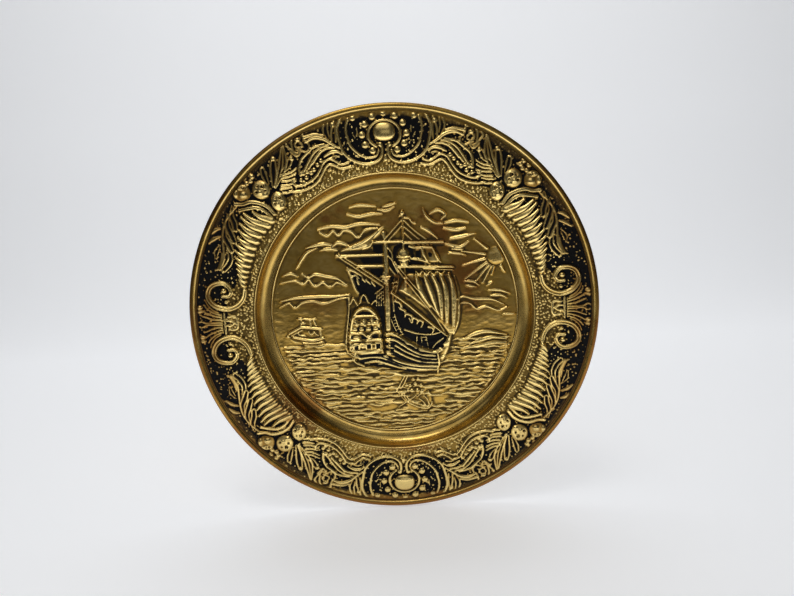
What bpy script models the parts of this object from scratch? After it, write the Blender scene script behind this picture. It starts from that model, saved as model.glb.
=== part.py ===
"""Decorative wall plaque: a round charger pressed from one thin sheet of brass.

Units are metres and +Z is up. The plaque hangs upright with its front facing -Y. The origin is the
centre of the flat back of its sunk field, the face that lies on the wall.

The front is one sheet of facets whose edges follow the relief: every ridge, leaf, boss and panel of the
ornament lends its feet and its crest to the facets. The rolled rim and the plain back are turned round
the plaque's axis. The ornament is drawn in shares of the plaque's radius, as it would be on a full size
drawing, and it is fitted between the border's two circles or inside the sunk field.
"""

import math

import bmesh
import bpy
import numpy as np
from mathutils import Vector
from mathutils.geometry import delaunay_2d_cdt

# Driving dimensions, metres
PLAQUE_RADIUS = 0.178
SHEET_THICKNESS = 0.0007
RIM_ROLL_DIAMETER = 0.0054
RIM_ROLL_RISE = 0.0010
RIM_GROOVE_WIDTH = 0.0016
RIM_GROOVE_DEPTH = 0.0006
COVE_TOP_RADIUS = 0.1206
COVE_WIDTH = 0.0104
WELL_DEPTH = 0.0125
COVE_LINE_WIDTH = 0.0016
COVE_LINE_HEIGHT = 0.0008
WELL_LINE_WIDTH = 0.0016
WELL_LINE_HEIGHT = 0.0007

# Heights of the border's ornament over its ground
LINE_HEIGHT = 0.0015
LEAF_HEIGHT = 0.0015
BEAD_HEIGHT = 0.0014
CABOCHON_HEIGHT = 0.0030
FRUIT_HEIGHT = 0.0036
FRUIT_PIT_DEPTH = 0.0014
HORN_SWELL = 0.0020
HORN_RIB_HEIGHT = 0.0018
SCROLL_HEIGHT = 0.0022
SCROLL_EYE_HEIGHT = 0.0028

# Heights of the ship scene over the field
HULL_HEIGHT = 0.0032
CASTLE_HEIGHT = 0.0038
WALE_HEIGHT = 0.0015
SAIL_HEIGHT = 0.0024
SAIL_FOLD_HEIGHT = 0.0012
SPAR_HEIGHT = 0.0016
TOP_HEIGHT = 0.0026
CLOUD_HEIGHT = 0.0014
WAVE_HEIGHT = 0.0014
SUN_HEIGHT = 0.0016
RAY_HEIGHT = 0.0010
FAR_SHIP_HEIGHT = 0.0012
BOAT_HEIGHT = 0.0020

# Facets
RING_FACETS = 64
ROLL_FACETS = 6
COVE_STEPS = 4
BOSS_SIDES = 6
RELIEF_STEP = 0.0074
MERGE_GAP = 0.0003

# The drawing of the ornament, in shares of the plaque's radius
DRAWN_BORDER_INNER = 0.690
DRAWN_BORDER_OUTER = 0.958
DRAWN_FIELD_RADIUS = 0.603
FIELD_DROP = 0.011

BRASS_COLOUR = (0.60, 0.42, 0.13, 1.0)
BRASS_ROUGHNESS = 0.33

# Places that follow from the dimensions. Depth is measured back from the border's ground.
GROOVE_OUTER_RADIUS = PLAQUE_RADIUS - RIM_ROLL_DIAMETER
GROOVE_INNER_RADIUS = GROOVE_OUTER_RADIUS - RIM_GROOVE_WIDTH
BORDER_INNER_RADIUS = COVE_TOP_RADIUS + COVE_LINE_WIDTH
FIELD_EDGE_RADIUS = COVE_TOP_RADIUS - COVE_WIDTH
WELL_RADIUS = FIELD_EDGE_RADIUS - WELL_LINE_WIDTH
GROUND_TO_WALL = WELL_DEPTH + SHEET_THICKNESS


def clear_scene():
    """Take every object out of the scene."""
    for item in list(bpy.data.objects):
        bpy.data.objects.remove(item, do_unlink=True)


def smooth_route(points, step):
    """Carry a smooth curve through the points, with a new point about every step metres."""
    points = np.asarray(points, float)
    before = 2 * points[0] - points[1]
    after = 2 * points[-1] - points[-2]
    knots = np.vstack([before, points, after])
    drawn = [points[0]]
    for start in range(len(points) - 1):
        a, b, c, d = knots[start:start + 4]
        pieces = max(1, round(float(np.linalg.norm(c - b)) / step))
        for share in np.arange(1, pieces + 1) / pieces:
            drawn.append(0.5 * (2 * b + (c - a) * share + (2 * a - 5 * b + 4 * c - d) * share ** 2
                                + (3 * b - a - 3 * c + d) * share ** 3))
    return thin_out(np.array(drawn), step)


def thin_out(route, step):
    """Drop the points of a route that lie closer together than two thirds of a step."""
    kept = [route[0]]
    for point in route[1:-1]:
        if np.linalg.norm(point - kept[-1]) > 0.66 * step and np.linalg.norm(point - route[-1]) > 0.4 * step:
            kept.append(point)
    kept.append(route[-1])
    return np.array(kept)


def side_steps(route):
    """The unit vectors square to a route, to its left."""
    along = np.gradient(route, axis=0)
    along /= np.maximum(np.linalg.norm(along, axis=1), 1e-9)[:, None]
    return np.column_stack([-along[:, 1], along[:, 0]])


def nearest_on_route(places, route):
    """How far each place is from a route, and how far along the route it lies, 0 to 1."""
    starts = route[:-1]
    runs = route[1:] - starts
    lengths = np.maximum((runs ** 2).sum(1), 1e-12)
    offsets = places[:, None] - starts[None]
    shares = np.clip((offsets * runs[None]).sum(2) / lengths, 0, 1)
    gaps = np.linalg.norm(offsets - shares[..., None] * runs[None], axis=2)
    best = gaps.argmin(1)
    rows = np.arange(len(places))
    return gaps[rows, best], (best + shares[rows, best]) / len(runs)


class Ridge:
    """A raised line or leaf: feet on both sides of a crest, with pointed or full ends."""

    def __init__(self, points, half_width, height, pointed=False, step=RELIEF_STEP):
        self.route = smooth_route(points, step)
        if len(self.route) < 3:
            self.route = np.array([self.route[0], self.route.mean(0), self.route[-1]])
        self.half_width = half_width
        self.height = height
        self.pointed = pointed

    def widths(self, share):
        """The half width at a share of the way along: full, or drawn in to points at both ends."""
        if self.pointed:
            return self.half_width * np.sqrt(np.clip(4 * share * (1 - share), 0, 1))
        return self.half_width * np.clip(10 * np.minimum(share, 1 - share) + 0.35, 0, 1)

    def mirrored(self, across, up):
        """The same ridge on the other side of the plaque's upright or level axis."""
        twin = Ridge.__new__(Ridge)
        twin.__dict__.update(self.__dict__)
        twin.route = self.route * (across, up)
        return twin

    def lines(self):
        """The open lines that the facets follow: left foot, crest and right foot."""
        share = np.linspace(0, 1, len(self.route))
        reach = side_steps(self.route) * self.widths(share)[:, None]
        left = self.route + reach
        right = self.route - reach
        if self.pointed:
            left[[0, -1]] = self.route[[0, -1]]
            right[[0, -1]] = self.route[[0, -1]]
        return [left, self.route, right]

    def rise(self, places):
        """The height over the ground at each place: full on the crest, nothing at the feet."""
        gap, share = nearest_on_route(places, self.route)
        width = np.maximum(self.widths(share), 1e-6)
        ends = np.clip(8 * np.minimum(share, 1 - share) + (0.3 if self.pointed else 0.6), 0, 1)
        return self.height * ends * np.clip(1 - gap / width, 0, 1)


class Boss:
    """A round or oval dome, with a pit at its middle where one is given."""

    def __init__(self, centre, radii, height, pit=0.0, sides=BOSS_SIDES):
        self.centre = np.asarray(centre, float)
        self.radii = np.asarray(radii, float)
        self.height = height
        self.pit = pit
        self.sides = sides

    def mirrored(self, across, up):
        """The same boss on the other side of the plaque's upright or level axis."""
        return Boss(self.centre * (across, up), self.radii, self.height, self.pit, self.sides)

    def lines(self):
        """The foot, the shoulder and the middle of the dome."""
        turns = np.arange(self.sides + 1) * 2 * math.pi / self.sides
        ring = np.column_stack([np.cos(turns), np.sin(turns)]) * self.radii
        rings = [self.centre + ring]
        if self.radii.max() > RELIEF_STEP * 0.6:
            rings.append(self.centre + 0.62 * ring)
        return rings + [self.centre[None]]

    def rise(self, places):
        """Ellipsoid height over the ground, less the pit near the middle."""
        reach = np.linalg.norm((places - self.centre) / self.radii, axis=1)
        dome = self.height * np.sqrt(np.clip(1 - reach ** 2, 0, 1))
        return dome - self.pit * np.clip(1 - reach / 0.4, 0, 1)


class Panel:
    """A raised flat area with sloping sides, such as a sail, a hull or the body of the horn."""

    def __init__(self, corners, slope, height):
        self.corners = np.asarray(corners, float)
        self.slope = slope
        self.height = height

    def mirrored(self, across, up):
        """The same panel on the other side of the plaque's upright or level axis."""
        return Panel(self.corners * (across, up), self.slope, self.height)

    def lines(self):
        """The outline at the ground and the edge of the flat top."""
        closed = np.vstack([self.corners, self.corners[:1]])
        middle = self.corners.mean(0)
        away = np.linalg.norm(closed - middle, axis=1)[:, None]
        return [closed, closed + (middle - closed) * np.clip(self.slope * 1.3 / away, 0, 0.45)]

    def rise(self, places):
        """The height grows with the distance inside the outline until the flat top is reached."""
        closed = np.vstack([self.corners, self.corners[:1]])
        gap, _ = nearest_on_route(places, closed)
        inside = np.zeros(len(places), bool)
        for (x0, z0), (x1, z1) in zip(closed[:-1], closed[1:]):
            crosses = (z0 > places[:, 1]) != (z1 > places[:, 1])
            level = (places[:, 1] - z0) / (z1 - z0 if z1 != z0 else 1e-12)
            inside ^= crosses & (places[:, 0] < x0 + (x1 - x0) * level)
        return self.height * np.where(inside, np.clip(gap / self.slope, 0, 1), 0)


def on_border(points, reach=0.0):
    """Fit drawn points into the border: the angle stays, the radius is fitted between its circles.

    A form that reaches out from its points by a drawn width keeps its foot inside both circles.
    """
    points = np.atleast_2d(np.asarray(points, float))
    drawn = np.linalg.norm(points, axis=1)
    drawn_width = DRAWN_BORDER_OUTER - DRAWN_BORDER_INNER
    share = np.clip((drawn - DRAWN_BORDER_INNER) / drawn_width, reach / drawn_width, 1 - reach / drawn_width)
    wanted = BORDER_INNER_RADIUS + share * (GROOVE_INNER_RADIUS - BORDER_INNER_RADIUS)
    return points * (wanted / drawn)[:, None]


def in_field(points):
    """Fit drawn points into the sunk field, which is drawn a little high."""
    points = np.atleast_2d(np.asarray(points, float)) - (0, FIELD_DROP)
    return points * WELL_RADIUS / DRAWN_FIELD_RADIUS


def border_size(share):
    """A width on the border, from its drawn width, so that it grows and shrinks with the border."""
    return share * (GROOVE_INNER_RADIUS - BORDER_INNER_RADIUS) / (DRAWN_BORDER_OUTER - DRAWN_BORDER_INNER)


def field_size(share):
    """A width in the field, from its share of the drawing."""
    return share * WELL_RADIUS / DRAWN_FIELD_RADIUS


def line(points, share=0.008, height=LINE_HEIGHT):
    """A raised line of the border."""
    return Ridge(on_border(points, share), border_size(share), height, step=1.15 * RELIEF_STEP)


def leaf(points, share=0.014, height=LEAF_HEIGHT):
    """A pointed leaf of the border."""
    return Ridge(on_border(points, share), border_size(share), height, pointed=True)


def bead(x, z, share=0.014):
    """A round bead of the border."""
    return Boss(on_border((x, z), share)[0], (border_size(share), border_size(share)), BEAD_HEIGHT, sides=5)


def spar(points, share=0.007, height=SPAR_HEIGHT, step=2 * RELIEF_STEP):
    """A mast, yard, stay or moulding of the ship."""
    return Ridge(in_field(points), field_size(share), height, step=step)


def cartouche_half():
    """Right half of the cartouche at the top: two curved lines and the beads beside the cabochon."""
    outer = [(0.018, 0.813), (0.014, 0.775), (0.035, 0.744), (0.080, 0.729), (0.138, 0.739),
             (0.188, 0.775), (0.209, 0.827), (0.216, 0.880), (0.196, 0.938)]
    inner = [(0.036, 0.768), (0.079, 0.757), (0.127, 0.776), (0.1615, 0.815), (0.176, 0.874), (0.166, 0.930)]
    beads = [(0.052, 0.935), (0.088, 0.903), (0.103, 0.857), (0.091, 0.813), (0.057, 0.784)]
    return [line(outer), line(inner)] + [bead(x, z) for x, z in beads]


def cabochon():
    """The oval stone in the middle of the cartouche, in a ring that is open below."""
    turns = np.radians(np.linspace(-52, 232, 12))
    ring = np.column_stack([0.075 * np.cos(turns), 0.856 + 0.064 * np.sin(turns)])
    stone = Boss(on_border((0, 0.866))[0], (border_size(0.052), border_size(0.042)), CABOCHON_HEIGHT,
                 sides=10)
    return [stone, line(ring, 0.007)]


def acanthus():
    """The leaf beside the cartouche, its lobes springing from one root, and two upright darts."""
    lobes = [
        [(0.215, 0.803), (0.250, 0.825), (0.300, 0.850), (0.362, 0.838)],
        [(0.285, 0.862), (0.320, 0.868), (0.364, 0.856)],
        [(0.245, 0.806), (0.295, 0.788), (0.340, 0.740)],
        [(0.265, 0.818), (0.325, 0.790), (0.368, 0.735), (0.402, 0.690)],
        [(0.365, 0.785), (0.398, 0.752), (0.405, 0.700)],
        [(0.205, 0.780), (0.235, 0.790), (0.282, 0.768)],
    ]
    darts = [[(0.228, 0.835), (0.226, 0.875), (0.232, 0.920)],
             [(0.262, 0.850), (0.276, 0.885), (0.262, 0.920)]]
    return [leaf(lobe, 0.012) for lobe in lobes] + [leaf(dart, 0.010) for dart in darts]


def ribbon():
    """The double line that sweeps from the cartouche to the fruit, with beads along its bend."""
    upper = [(0.180, 0.732), (0.215, 0.735), (0.255, 0.757), (0.290, 0.740), (0.330, 0.685),
             (0.375, 0.652), (0.432, 0.640)]
    lower = [(0.170, 0.716), (0.215, 0.714), (0.255, 0.732), (0.290, 0.706), (0.335, 0.650),
             (0.380, 0.622), (0.436, 0.616)]
    beads = [(0.318, 0.730), (0.345, 0.705), (0.382, 0.692)]
    return [line(upper, 0.007), line(lower, 0.007)] + [bead(x, z, 0.010) for x, z in beads]


def rosette():
    """The four looped petals near the rim, with a bead in the middle."""
    middle = (0.403, 0.832)
    petals = []
    for quarter in range(4):
        turn = math.radians(45 + 90 * quarter)
        tip = (middle[0] + 0.046 * math.cos(turn), middle[1] + 0.046 * math.sin(turn))
        petals.append(leaf([middle, tip], 0.014))
    return petals + [bead(*middle, 0.012)]


def leaf_cluster():
    """The leaves above the horn: a lance leaf, curled lobes and a fan of small ones."""
    root = (0.525, 0.640)
    leaves = [
        leaf([root, (0.488, 0.725), (0.477, 0.828)], 0.021),
        leaf([(0.490, 0.690), (0.462, 0.725), (0.441, 0.766)], 0.013),
        leaf([(0.528, 0.650), (0.512, 0.710), (0.521, 0.770)], 0.017),
        leaf([(0.548, 0.660), (0.566, 0.700), (0.585, 0.722)], 0.015),
    ]
    for tip in [(0.424, 0.706), (0.428, 0.670), (0.452, 0.622)]:
        leaves.append(leaf([(0.498, 0.662), tip], 0.011))
    return leaves


def fruits():
    """Three round fruits in the mouth of the horn, each with a pit, and loose beads."""
    sizes = {(0.516, 0.572): (0.037, 0.045), (0.592, 0.624): (0.046, 0.042), (0.684, 0.615): (0.040, 0.038)}
    domes = [Boss(on_border(place, max(radii))[0], (border_size(radii[0]), border_size(radii[1])),
                  FRUIT_HEIGHT, FRUIT_PIT_DEPTH, 9) for place, radii in sizes.items()]
    return domes + [bead(0.644, 0.700, 0.013), bead(0.636, 0.668, 0.011)]


def horn():
    """The horn of plenty: a tapering swell with two mouth bands and ribs round it down to the tail."""
    spine = [(0.640, 0.520), (0.665, 0.440), (0.700, 0.350), (0.722, 0.270), (0.730, 0.180)]
    mouth = [[(0.545, 0.518), (0.590, 0.560), (0.650, 0.575), (0.712, 0.562)],
             [(0.556, 0.497), (0.600, 0.538), (0.650, 0.548), (0.700, 0.536)]]
    inner = [(0.568, 0.487), (0.603, 0.462), (0.628, 0.425), (0.652, 0.385), (0.668, 0.345), (0.683, 0.300),
             (0.698, 0.258), (0.706, 0.224), (0.712, 0.194)]
    outer = [(0.654, 0.532), (0.690, 0.522), (0.704, 0.492), (0.714, 0.440), (0.720, 0.392), (0.735, 0.345),
             (0.742, 0.292), (0.742, 0.250), (0.742, 0.216)]
    ribs = []
    for start, end in zip(inner, outer):
        sag = 0.16 * (end[0] - start[0])
        middle = np.add(start, end) / 2 + (sag, -sag)
        ribs.append(Ridge(on_border([start, middle, end]), border_size(0.011), HORN_RIB_HEIGHT,
                          step=1.6 * RELIEF_STEP))
    bands = [line(band, 0.009) for band in mouth]
    half_widths = [border_size(share) for share in (0.080, 0.058, 0.040, 0.030, 0.020)]
    return bands + ribs + [Swell(on_border(spine), half_widths, HORN_SWELL)]


class Swell:
    """A broad swelling under other ornament. It adds height and lends no lines of its own."""

    def __init__(self, points, half_widths, height):
        self.route = np.asarray(points, float)
        self.half_widths = np.asarray(half_widths, float)
        self.height = height

    def mirrored(self, across, up):
        """The same swelling on the other side of the plaque's upright or level axis."""
        return Swell(self.route * (across, up), self.half_widths, self.height)

    def lines(self):
        """A swelling has no lines of its own."""
        return []

    def lift(self, places):
        """The height that is added at each place, round across the spine."""
        gap, share = nearest_on_route(places, self.route)
        width = np.interp(share * (len(self.route) - 1), np.arange(len(self.route)), self.half_widths)
        return self.height * np.clip(1 - (gap / width) ** 2, 0, 1)


def tail_scroll():
    """The scroll that ends the horn's tail: a flat band wound round a bead."""
    band = [(0.718, 0.154), (0.738, 0.112), (0.775, 0.080), (0.820, 0.072), (0.862, 0.094), (0.887, 0.138),
            (0.876, 0.178), (0.840, 0.202), (0.802, 0.192), (0.786, 0.162), (0.803, 0.138), (0.828, 0.142)]
    eye = Boss(on_border((0.820, 0.158))[0], (border_size(0.018), border_size(0.018)), SCROLL_EYE_HEIGHT,
               sides=6)
    return [line(band, 0.014, SCROLL_HEIGHT), eye]


def outer_branch():
    """The leafy branch between the horn and the rim."""
    stem = [(0.712, 0.560), (0.765, 0.500), (0.792, 0.420), (0.800, 0.340), (0.826, 0.258)]
    leaves = [
        [(0.735, 0.540), (0.718, 0.500), (0.728, 0.458)],
        [(0.765, 0.470), (0.736, 0.430), (0.733, 0.398)],
        [(0.780, 0.420), (0.755, 0.380), (0.745, 0.350)],
        [(0.790, 0.340), (0.768, 0.300), (0.800, 0.262)],
        [(0.795, 0.430), (0.820, 0.452), (0.846, 0.452)],
        [(0.800, 0.380), (0.830, 0.396), (0.862, 0.392)],
        [(0.812, 0.400), (0.838, 0.368), (0.842, 0.328)],
    ]
    return [line(stem, 0.006)] + [leaf(points, 0.012) for points in leaves]


def side_fan_half():
    """Upper half of the fan between the two scrolls at the side: a bar, rays and beads."""
    rays = [[(0.850, 0.012), (0.900, 0.014), (0.938, 0.022)],
            [(0.850, 0.032), (0.895, 0.042), (0.924, 0.056)],
            [(0.850, 0.052), (0.890, 0.072), (0.912, 0.104)]]
    return [leaf(ray, 0.009) for ray in rays] + [bead(0.944, 0.080, 0.010)]


def side_bar():
    """The upright bar at the root of the side fan."""
    return [line([(0.832, -0.055), (0.832, 0.055)], 0.009)]


def border_relief():
    """The whole border: what is drawn once in the upper right is mirrored to the other quarters."""
    quarter = (cartouche_half() + acanthus() + ribbon() + rosette() + leaf_cluster() + fruits() + horn()
               + tail_scroll() + outer_branch() + side_fan_half())
    found = [form.mirrored(across, up) for across in (1, -1) for up in (1, -1) for form in quarter]
    found += [form.mirrored(1, up) for up in (1, -1) for form in cabochon() + [bead(0, 0.946)]]
    found += [form.mirrored(across, 1) for across in (1, -1) for form in side_bar()]
    return found


def ship_hull():
    """The hull with its stern castle, its wales and the stem at the bow."""
    hull = [(-0.245, -0.150), (-0.205, -0.225), (-0.100, -0.268), (0.060, -0.298), (0.200, -0.300),
            (0.275, -0.180), (0.288, -0.060), (0.262, -0.080), (0.170, -0.165), (0.060, -0.125),
            (-0.050, -0.065), (-0.080, 0.020), (-0.140, 0.056), (-0.205, 0.020)]
    castle = [(-0.232, -0.140), (-0.216, 0.018), (-0.190, 0.018), (-0.140, 0.052), (-0.090, 0.018),
              (-0.070, -0.164)]
    forms = [Panel(in_field(hull), field_size(0.022), HULL_HEIGHT),
             Panel(in_field(castle), field_size(0.012), CASTLE_HEIGHT)]
    wales = [
        [(-0.180, -0.198), (-0.100, -0.188), (-0.020, -0.226), (0.080, -0.262), (0.200, -0.268)],
        [(-0.050, -0.110), (0.040, -0.165), (0.130, -0.205), (0.222, -0.208)],
        [(0.222, -0.205), (0.268, -0.140), (0.284, -0.040)],
    ]
    for wale in wales:
        forms.append(spar(wale, 0.009, HULL_HEIGHT + WALE_HEIGHT))
    for level in (-0.150, -0.112, -0.070, -0.030, 0.006):
        forms.append(spar([(-0.205, level), (-0.080, level)], 0.008, CASTLE_HEIGHT + WALE_HEIGHT))
    return forms


def ship_rigging():
    """Masts, yards, tops, sails and the long diagonal spars."""
    sails = [
        [(0.095, 0.190), (0.255, 0.205), (0.322, 0.120), (0.330, 0.000), (0.290, -0.110), (0.225, -0.060),
         (0.130, 0.040)],
        [(0.085, 0.335), (0.200, 0.335), (0.238, 0.245), (0.110, 0.245)],
        [(-0.235, 0.240), (-0.070, 0.160), (-0.165, 0.050)],
        [(-0.260, 0.310), (-0.200, 0.380), (-0.090, 0.382), (-0.060, 0.335), (-0.170, 0.310)],
    ]
    spars = [
        [(0.058, 0.490), (0.055, 0.000)], [(-0.030, 0.360), (-0.034, -0.090)],
        [(-0.090, 0.355), (0.250, 0.352)], [(0.030, 0.232), (0.292, 0.228)],
        [(-0.240, 0.301), (-0.060, 0.301)], [(-0.275, 0.308), (-0.040, 0.151)],
        [(-0.014, 0.118), (0.249, -0.105)], [(-0.018, 0.320), (0.235, -0.070)],
        [(0.050, 0.455), (-0.016, 0.368)], [(0.066, 0.455), (0.162, 0.368)],
    ]
    folds = [
        [(0.115, 0.180), (0.120, 0.060)], [(0.160, 0.190), (0.180, 0.090), (0.170, 0.000)],
        [(0.210, 0.190), (0.235, 0.080), (0.220, -0.050)], [(0.255, 0.190), (0.285, 0.060), (0.275, -0.080)],
        [(0.298, 0.160), (0.318, 0.040), (0.300, -0.060)],
    ]
    forms = [Panel(in_field(sail), field_size(0.014), SAIL_HEIGHT) for sail in sails]
    forms += [spar(fold, 0.009, SAIL_HEIGHT + SAIL_FOLD_HEIGHT) for fold in folds]
    forms += [spar(points, 0.008, SAIL_HEIGHT + SPAR_HEIGHT, 6 * RELIEF_STEP) for points in spars]
    tops = {(0.055, 0.275): (0.030, 0.022), (-0.036, 0.195): (0.024, 0.026)}
    for place, radii in tops.items():
        forms.append(Boss(in_field(place)[0], (field_size(radii[0]), field_size(radii[1])),
                          SAIL_HEIGHT + TOP_HEIGHT, sides=6))
    return forms


def sky():
    """The clouds and the sun with its rays."""
    clouds = [
        [(-0.190, 0.520), (-0.110, 0.508), (-0.050, 0.520)],
        [(-0.340, 0.450), (-0.220, 0.430), (-0.060, 0.446)],
        [(-0.450, 0.360), (-0.350, 0.340), (-0.260, 0.348)],
        [(-0.550, 0.240), (-0.470, 0.215), (-0.380, 0.222)],
        [(-0.420, 0.195), (-0.320, 0.172), (-0.230, 0.176)],
        [(-0.550, 0.110), (-0.430, 0.080), (-0.240, 0.092)],
        [(0.160, 0.510), (0.190, 0.450), (0.250, 0.434)],
        [(0.200, 0.490), (0.250, 0.478), (0.290, 0.446)],
        [(0.270, 0.420), (0.320, 0.404), (0.380, 0.410)],
        [(0.285, 0.345), (0.330, 0.328), (0.390, 0.322)],
        [(0.270, 0.294), (0.320, 0.272), (0.400, 0.262)],
        [(0.310, 0.080), (0.380, 0.060), (0.470, 0.066)],
        [(0.480, 0.110), (0.530, 0.090), (0.575, 0.090)],
    ]
    forms = [Ridge(in_field(cloud), field_size(0.013), CLOUD_HEIGHT, pointed=True, step=1.7 * RELIEF_STEP)
             for cloud in clouds]
    sun = (0.500, 0.268)
    forms.append(Boss(in_field(sun)[0], (field_size(0.046), field_size(0.046)), SUN_HEIGHT, sides=10))
    for turn in np.radians(np.linspace(112, 296, 8)):
        toward = np.array([math.cos(turn), math.sin(turn)])
        ray = in_field([sun + 0.058 * toward, sun + 0.110 * toward])
        forms.append(Ridge(ray, field_size(0.008), RAY_HEIGHT, pointed=True, step=3 * RELIEF_STEP))
    return forms


def sea():
    """Rows of long waves below the horizon, the wave at the bow, the far ship and the rowing boat."""
    forms = []
    for row, level in enumerate(np.linspace(-0.190, -0.560, 11)):
        reach = math.sqrt(0.580 ** 2 - level ** 2)
        shift = 0.05 * math.sin(2.3 * row)
        for side in (-1, 1):
            near = 0.30 if level > -0.31 else 0.03
            ends = np.linspace(near + abs(shift) * (side > 0), reach - 0.02, 4) * side
            heave = level + 0.010 * np.sin(9 * ends + 1.7 * row)
            forms.append(Ridge(in_field(np.column_stack([ends, heave])), field_size(0.010), WAVE_HEIGHT,
                               pointed=True, step=2.4 * RELIEF_STEP))
    far_ship = [(-0.520, -0.095), (-0.380, -0.100), (-0.400, -0.020), (-0.450, 0.010), (-0.500, -0.030)]
    boat = [(0.040, -0.430), (0.170, -0.405), (0.195, -0.385), (0.150, -0.450), (0.070, -0.460)]
    forms.append(Panel(in_field(far_ship), field_size(0.014), FAR_SHIP_HEIGHT))
    forms.append(Panel(in_field(boat), field_size(0.012), BOAT_HEIGHT))
    return forms


def rings_of_front():
    """Radius and depth of the plain front, from the groove at the rim in to the edge of the field."""
    steps = np.radians(np.linspace(0, 90, COVE_STEPS + 1))
    cove = [(FIELD_EDGE_RADIUS + COVE_WIDTH * math.cos(a), WELL_DEPTH * math.sin(a)) for a in steps]
    cove[0] = (COVE_TOP_RADIUS, 0.0)
    return [
        (GROOVE_OUTER_RADIUS, 0.0),
        (GROOVE_OUTER_RADIUS - RIM_GROOVE_WIDTH / 2, RIM_GROOVE_DEPTH),
        (GROOVE_INNER_RADIUS, 0.0),
        (BORDER_INNER_RADIUS, 0.0),
        (COVE_TOP_RADIUS + COVE_LINE_WIDTH / 2, -COVE_LINE_HEIGHT),
        *cove,
        (FIELD_EDGE_RADIUS - WELL_LINE_WIDTH / 2, WELL_DEPTH - WELL_LINE_HEIGHT),
        (WELL_RADIUS, WELL_DEPTH),
    ]


def rings_of_roll():
    """Radius and depth round the rolled rim, from its front inner edge round to its back."""
    half = RIM_ROLL_DIAMETER / 2
    turns = np.radians(np.linspace(150, -120, ROLL_FACETS + 1))
    middle_depth = half - RIM_ROLL_RISE
    middle_radius = PLAQUE_RADIUS - half
    return [(middle_radius + half * math.cos(turn), middle_depth - half * math.sin(turn)) for turn in turns]


def rings_of_back():
    """Radius and depth of the plain back, the front moved back by the thickness of the sheet."""
    cove = [ring for ring in rings_of_front() if FIELD_EDGE_RADIUS <= ring[0] <= COVE_TOP_RADIUS]
    rings = [(GROOVE_OUTER_RADIUS, RIM_GROOVE_DEPTH + SHEET_THICKNESS),
             (COVE_TOP_RADIUS + SHEET_THICKNESS, SHEET_THICKNESS)]
    for (radius, depth) in cove[1:-1]:
        share = math.asin(depth / WELL_DEPTH)
        tilt = math.atan2(WELL_DEPTH * math.cos(share), COVE_WIDTH * math.sin(share))
        rings.append((radius + SHEET_THICKNESS * math.sin(tilt), depth + SHEET_THICKNESS * math.cos(tilt)))
    return rings + [(FIELD_EDGE_RADIUS, GROUND_TO_WALL)]


def plain_depth(places):
    """Depth of the plain front at each place, read between its rings."""
    rings = sorted(rings_of_front())
    return np.interp(np.linalg.norm(places, axis=1), [ring[0] for ring in rings], [ring[1] for ring in rings])


def circle(radius):
    """The points of one ring of facets, right side first and anticlockwise from the front."""
    turns = np.arange(RING_FACETS) * 2 * math.pi / RING_FACETS
    return np.column_stack([np.cos(turns), np.sin(turns)]) * radius


def front_facets(forms):
    """Lay triangles over the front so that their edges follow the rings and the lines of the relief."""
    points = []
    edges = []
    for radius, _ in rings_of_front():
        first = len(points)
        points.extend(circle(radius))
        edges += [(first + step, first + (step + 1) % RING_FACETS) for step in range(RING_FACETS)]
    for form in forms:
        for route in form.lines():
            first = len(points)
            points.extend(route)
            edges += [(first + step, first + step + 1) for step in range(len(route) - 1)]
    flat = [Vector((float(x), float(z))) for x, z in points]
    found, _, triangles, origins, _, _ = delaunay_2d_cdt(flat, edges, [], 0, MERGE_GAP)
    rim_ring = [None] * RING_FACETS
    for index, sources in enumerate(origins):
        for source in sources:
            if source < RING_FACETS:
                rim_ring[source] = index
    return np.array([tuple(spot) for spot in found]), [tuple(face) for face in triangles], rim_ring


def relief_height(places, forms):
    """Height of the relief at each place: the highest form there, on top of any swelling."""
    height = np.zeros(len(places))
    lift = np.zeros(len(places))
    for form in forms:
        if isinstance(form, Swell):
            lift = np.maximum(lift, form.lift(places))
        else:
            height = np.maximum(height, form.rise(places))
    return height + lift


def turned_rings(rings, vertices):
    """Add the vertices of turned rings and return each ring's vertex numbers."""
    numbers = []
    for radius, depth in rings:
        first = len(vertices)
        vertices.extend((x, depth - GROUND_TO_WALL, z) for x, z in circle(radius))
        numbers.append(list(range(first, first + RING_FACETS)))
    return numbers


def join_rings(one, other):
    """The four-sided facets between two rings of vertices."""
    return [(one[step], other[step], other[(step + 1) % RING_FACETS], one[(step + 1) % RING_FACETS])
            for step in range(RING_FACETS)]


def plaque_mesh():
    """One closed sheet: the relief front, the rolled rim and the plain back."""
    forms = border_relief() + ship_hull() + ship_rigging() + sky() + sea()
    places, faces, rim_ring = front_facets(forms)
    depth = plain_depth(places) - relief_height(places, forms)
    vertices = [(x, back - GROUND_TO_WALL, z) for (x, z), back in zip(places, depth)]
    rings = [rim_ring] + turned_rings(rings_of_roll() + rings_of_back(), vertices)
    for one, other in zip(rings[:-1], rings[1:]):
        faces += join_rings(one, other)
    middle = len(vertices)
    vertices.append((0.0, 0.0, 0.0))
    last = rings[-1]
    faces += [(last[step], middle, last[(step + 1) % RING_FACETS]) for step in range(RING_FACETS)]
    mesh = bpy.data.meshes.new("plaque")
    mesh.from_pydata(vertices, [], faces)
    return mesh


def brass():
    """The aged brass of the sheet."""
    material = bpy.data.materials.new("brass")
    material.use_nodes = True
    shader = material.node_tree.nodes["Principled BSDF"]
    shader.inputs["Base Color"].default_value = BRASS_COLOUR
    shader.inputs["Metallic"].default_value = 1.0
    shader.inputs["Roughness"].default_value = BRASS_ROUGHNESS
    return material


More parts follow.
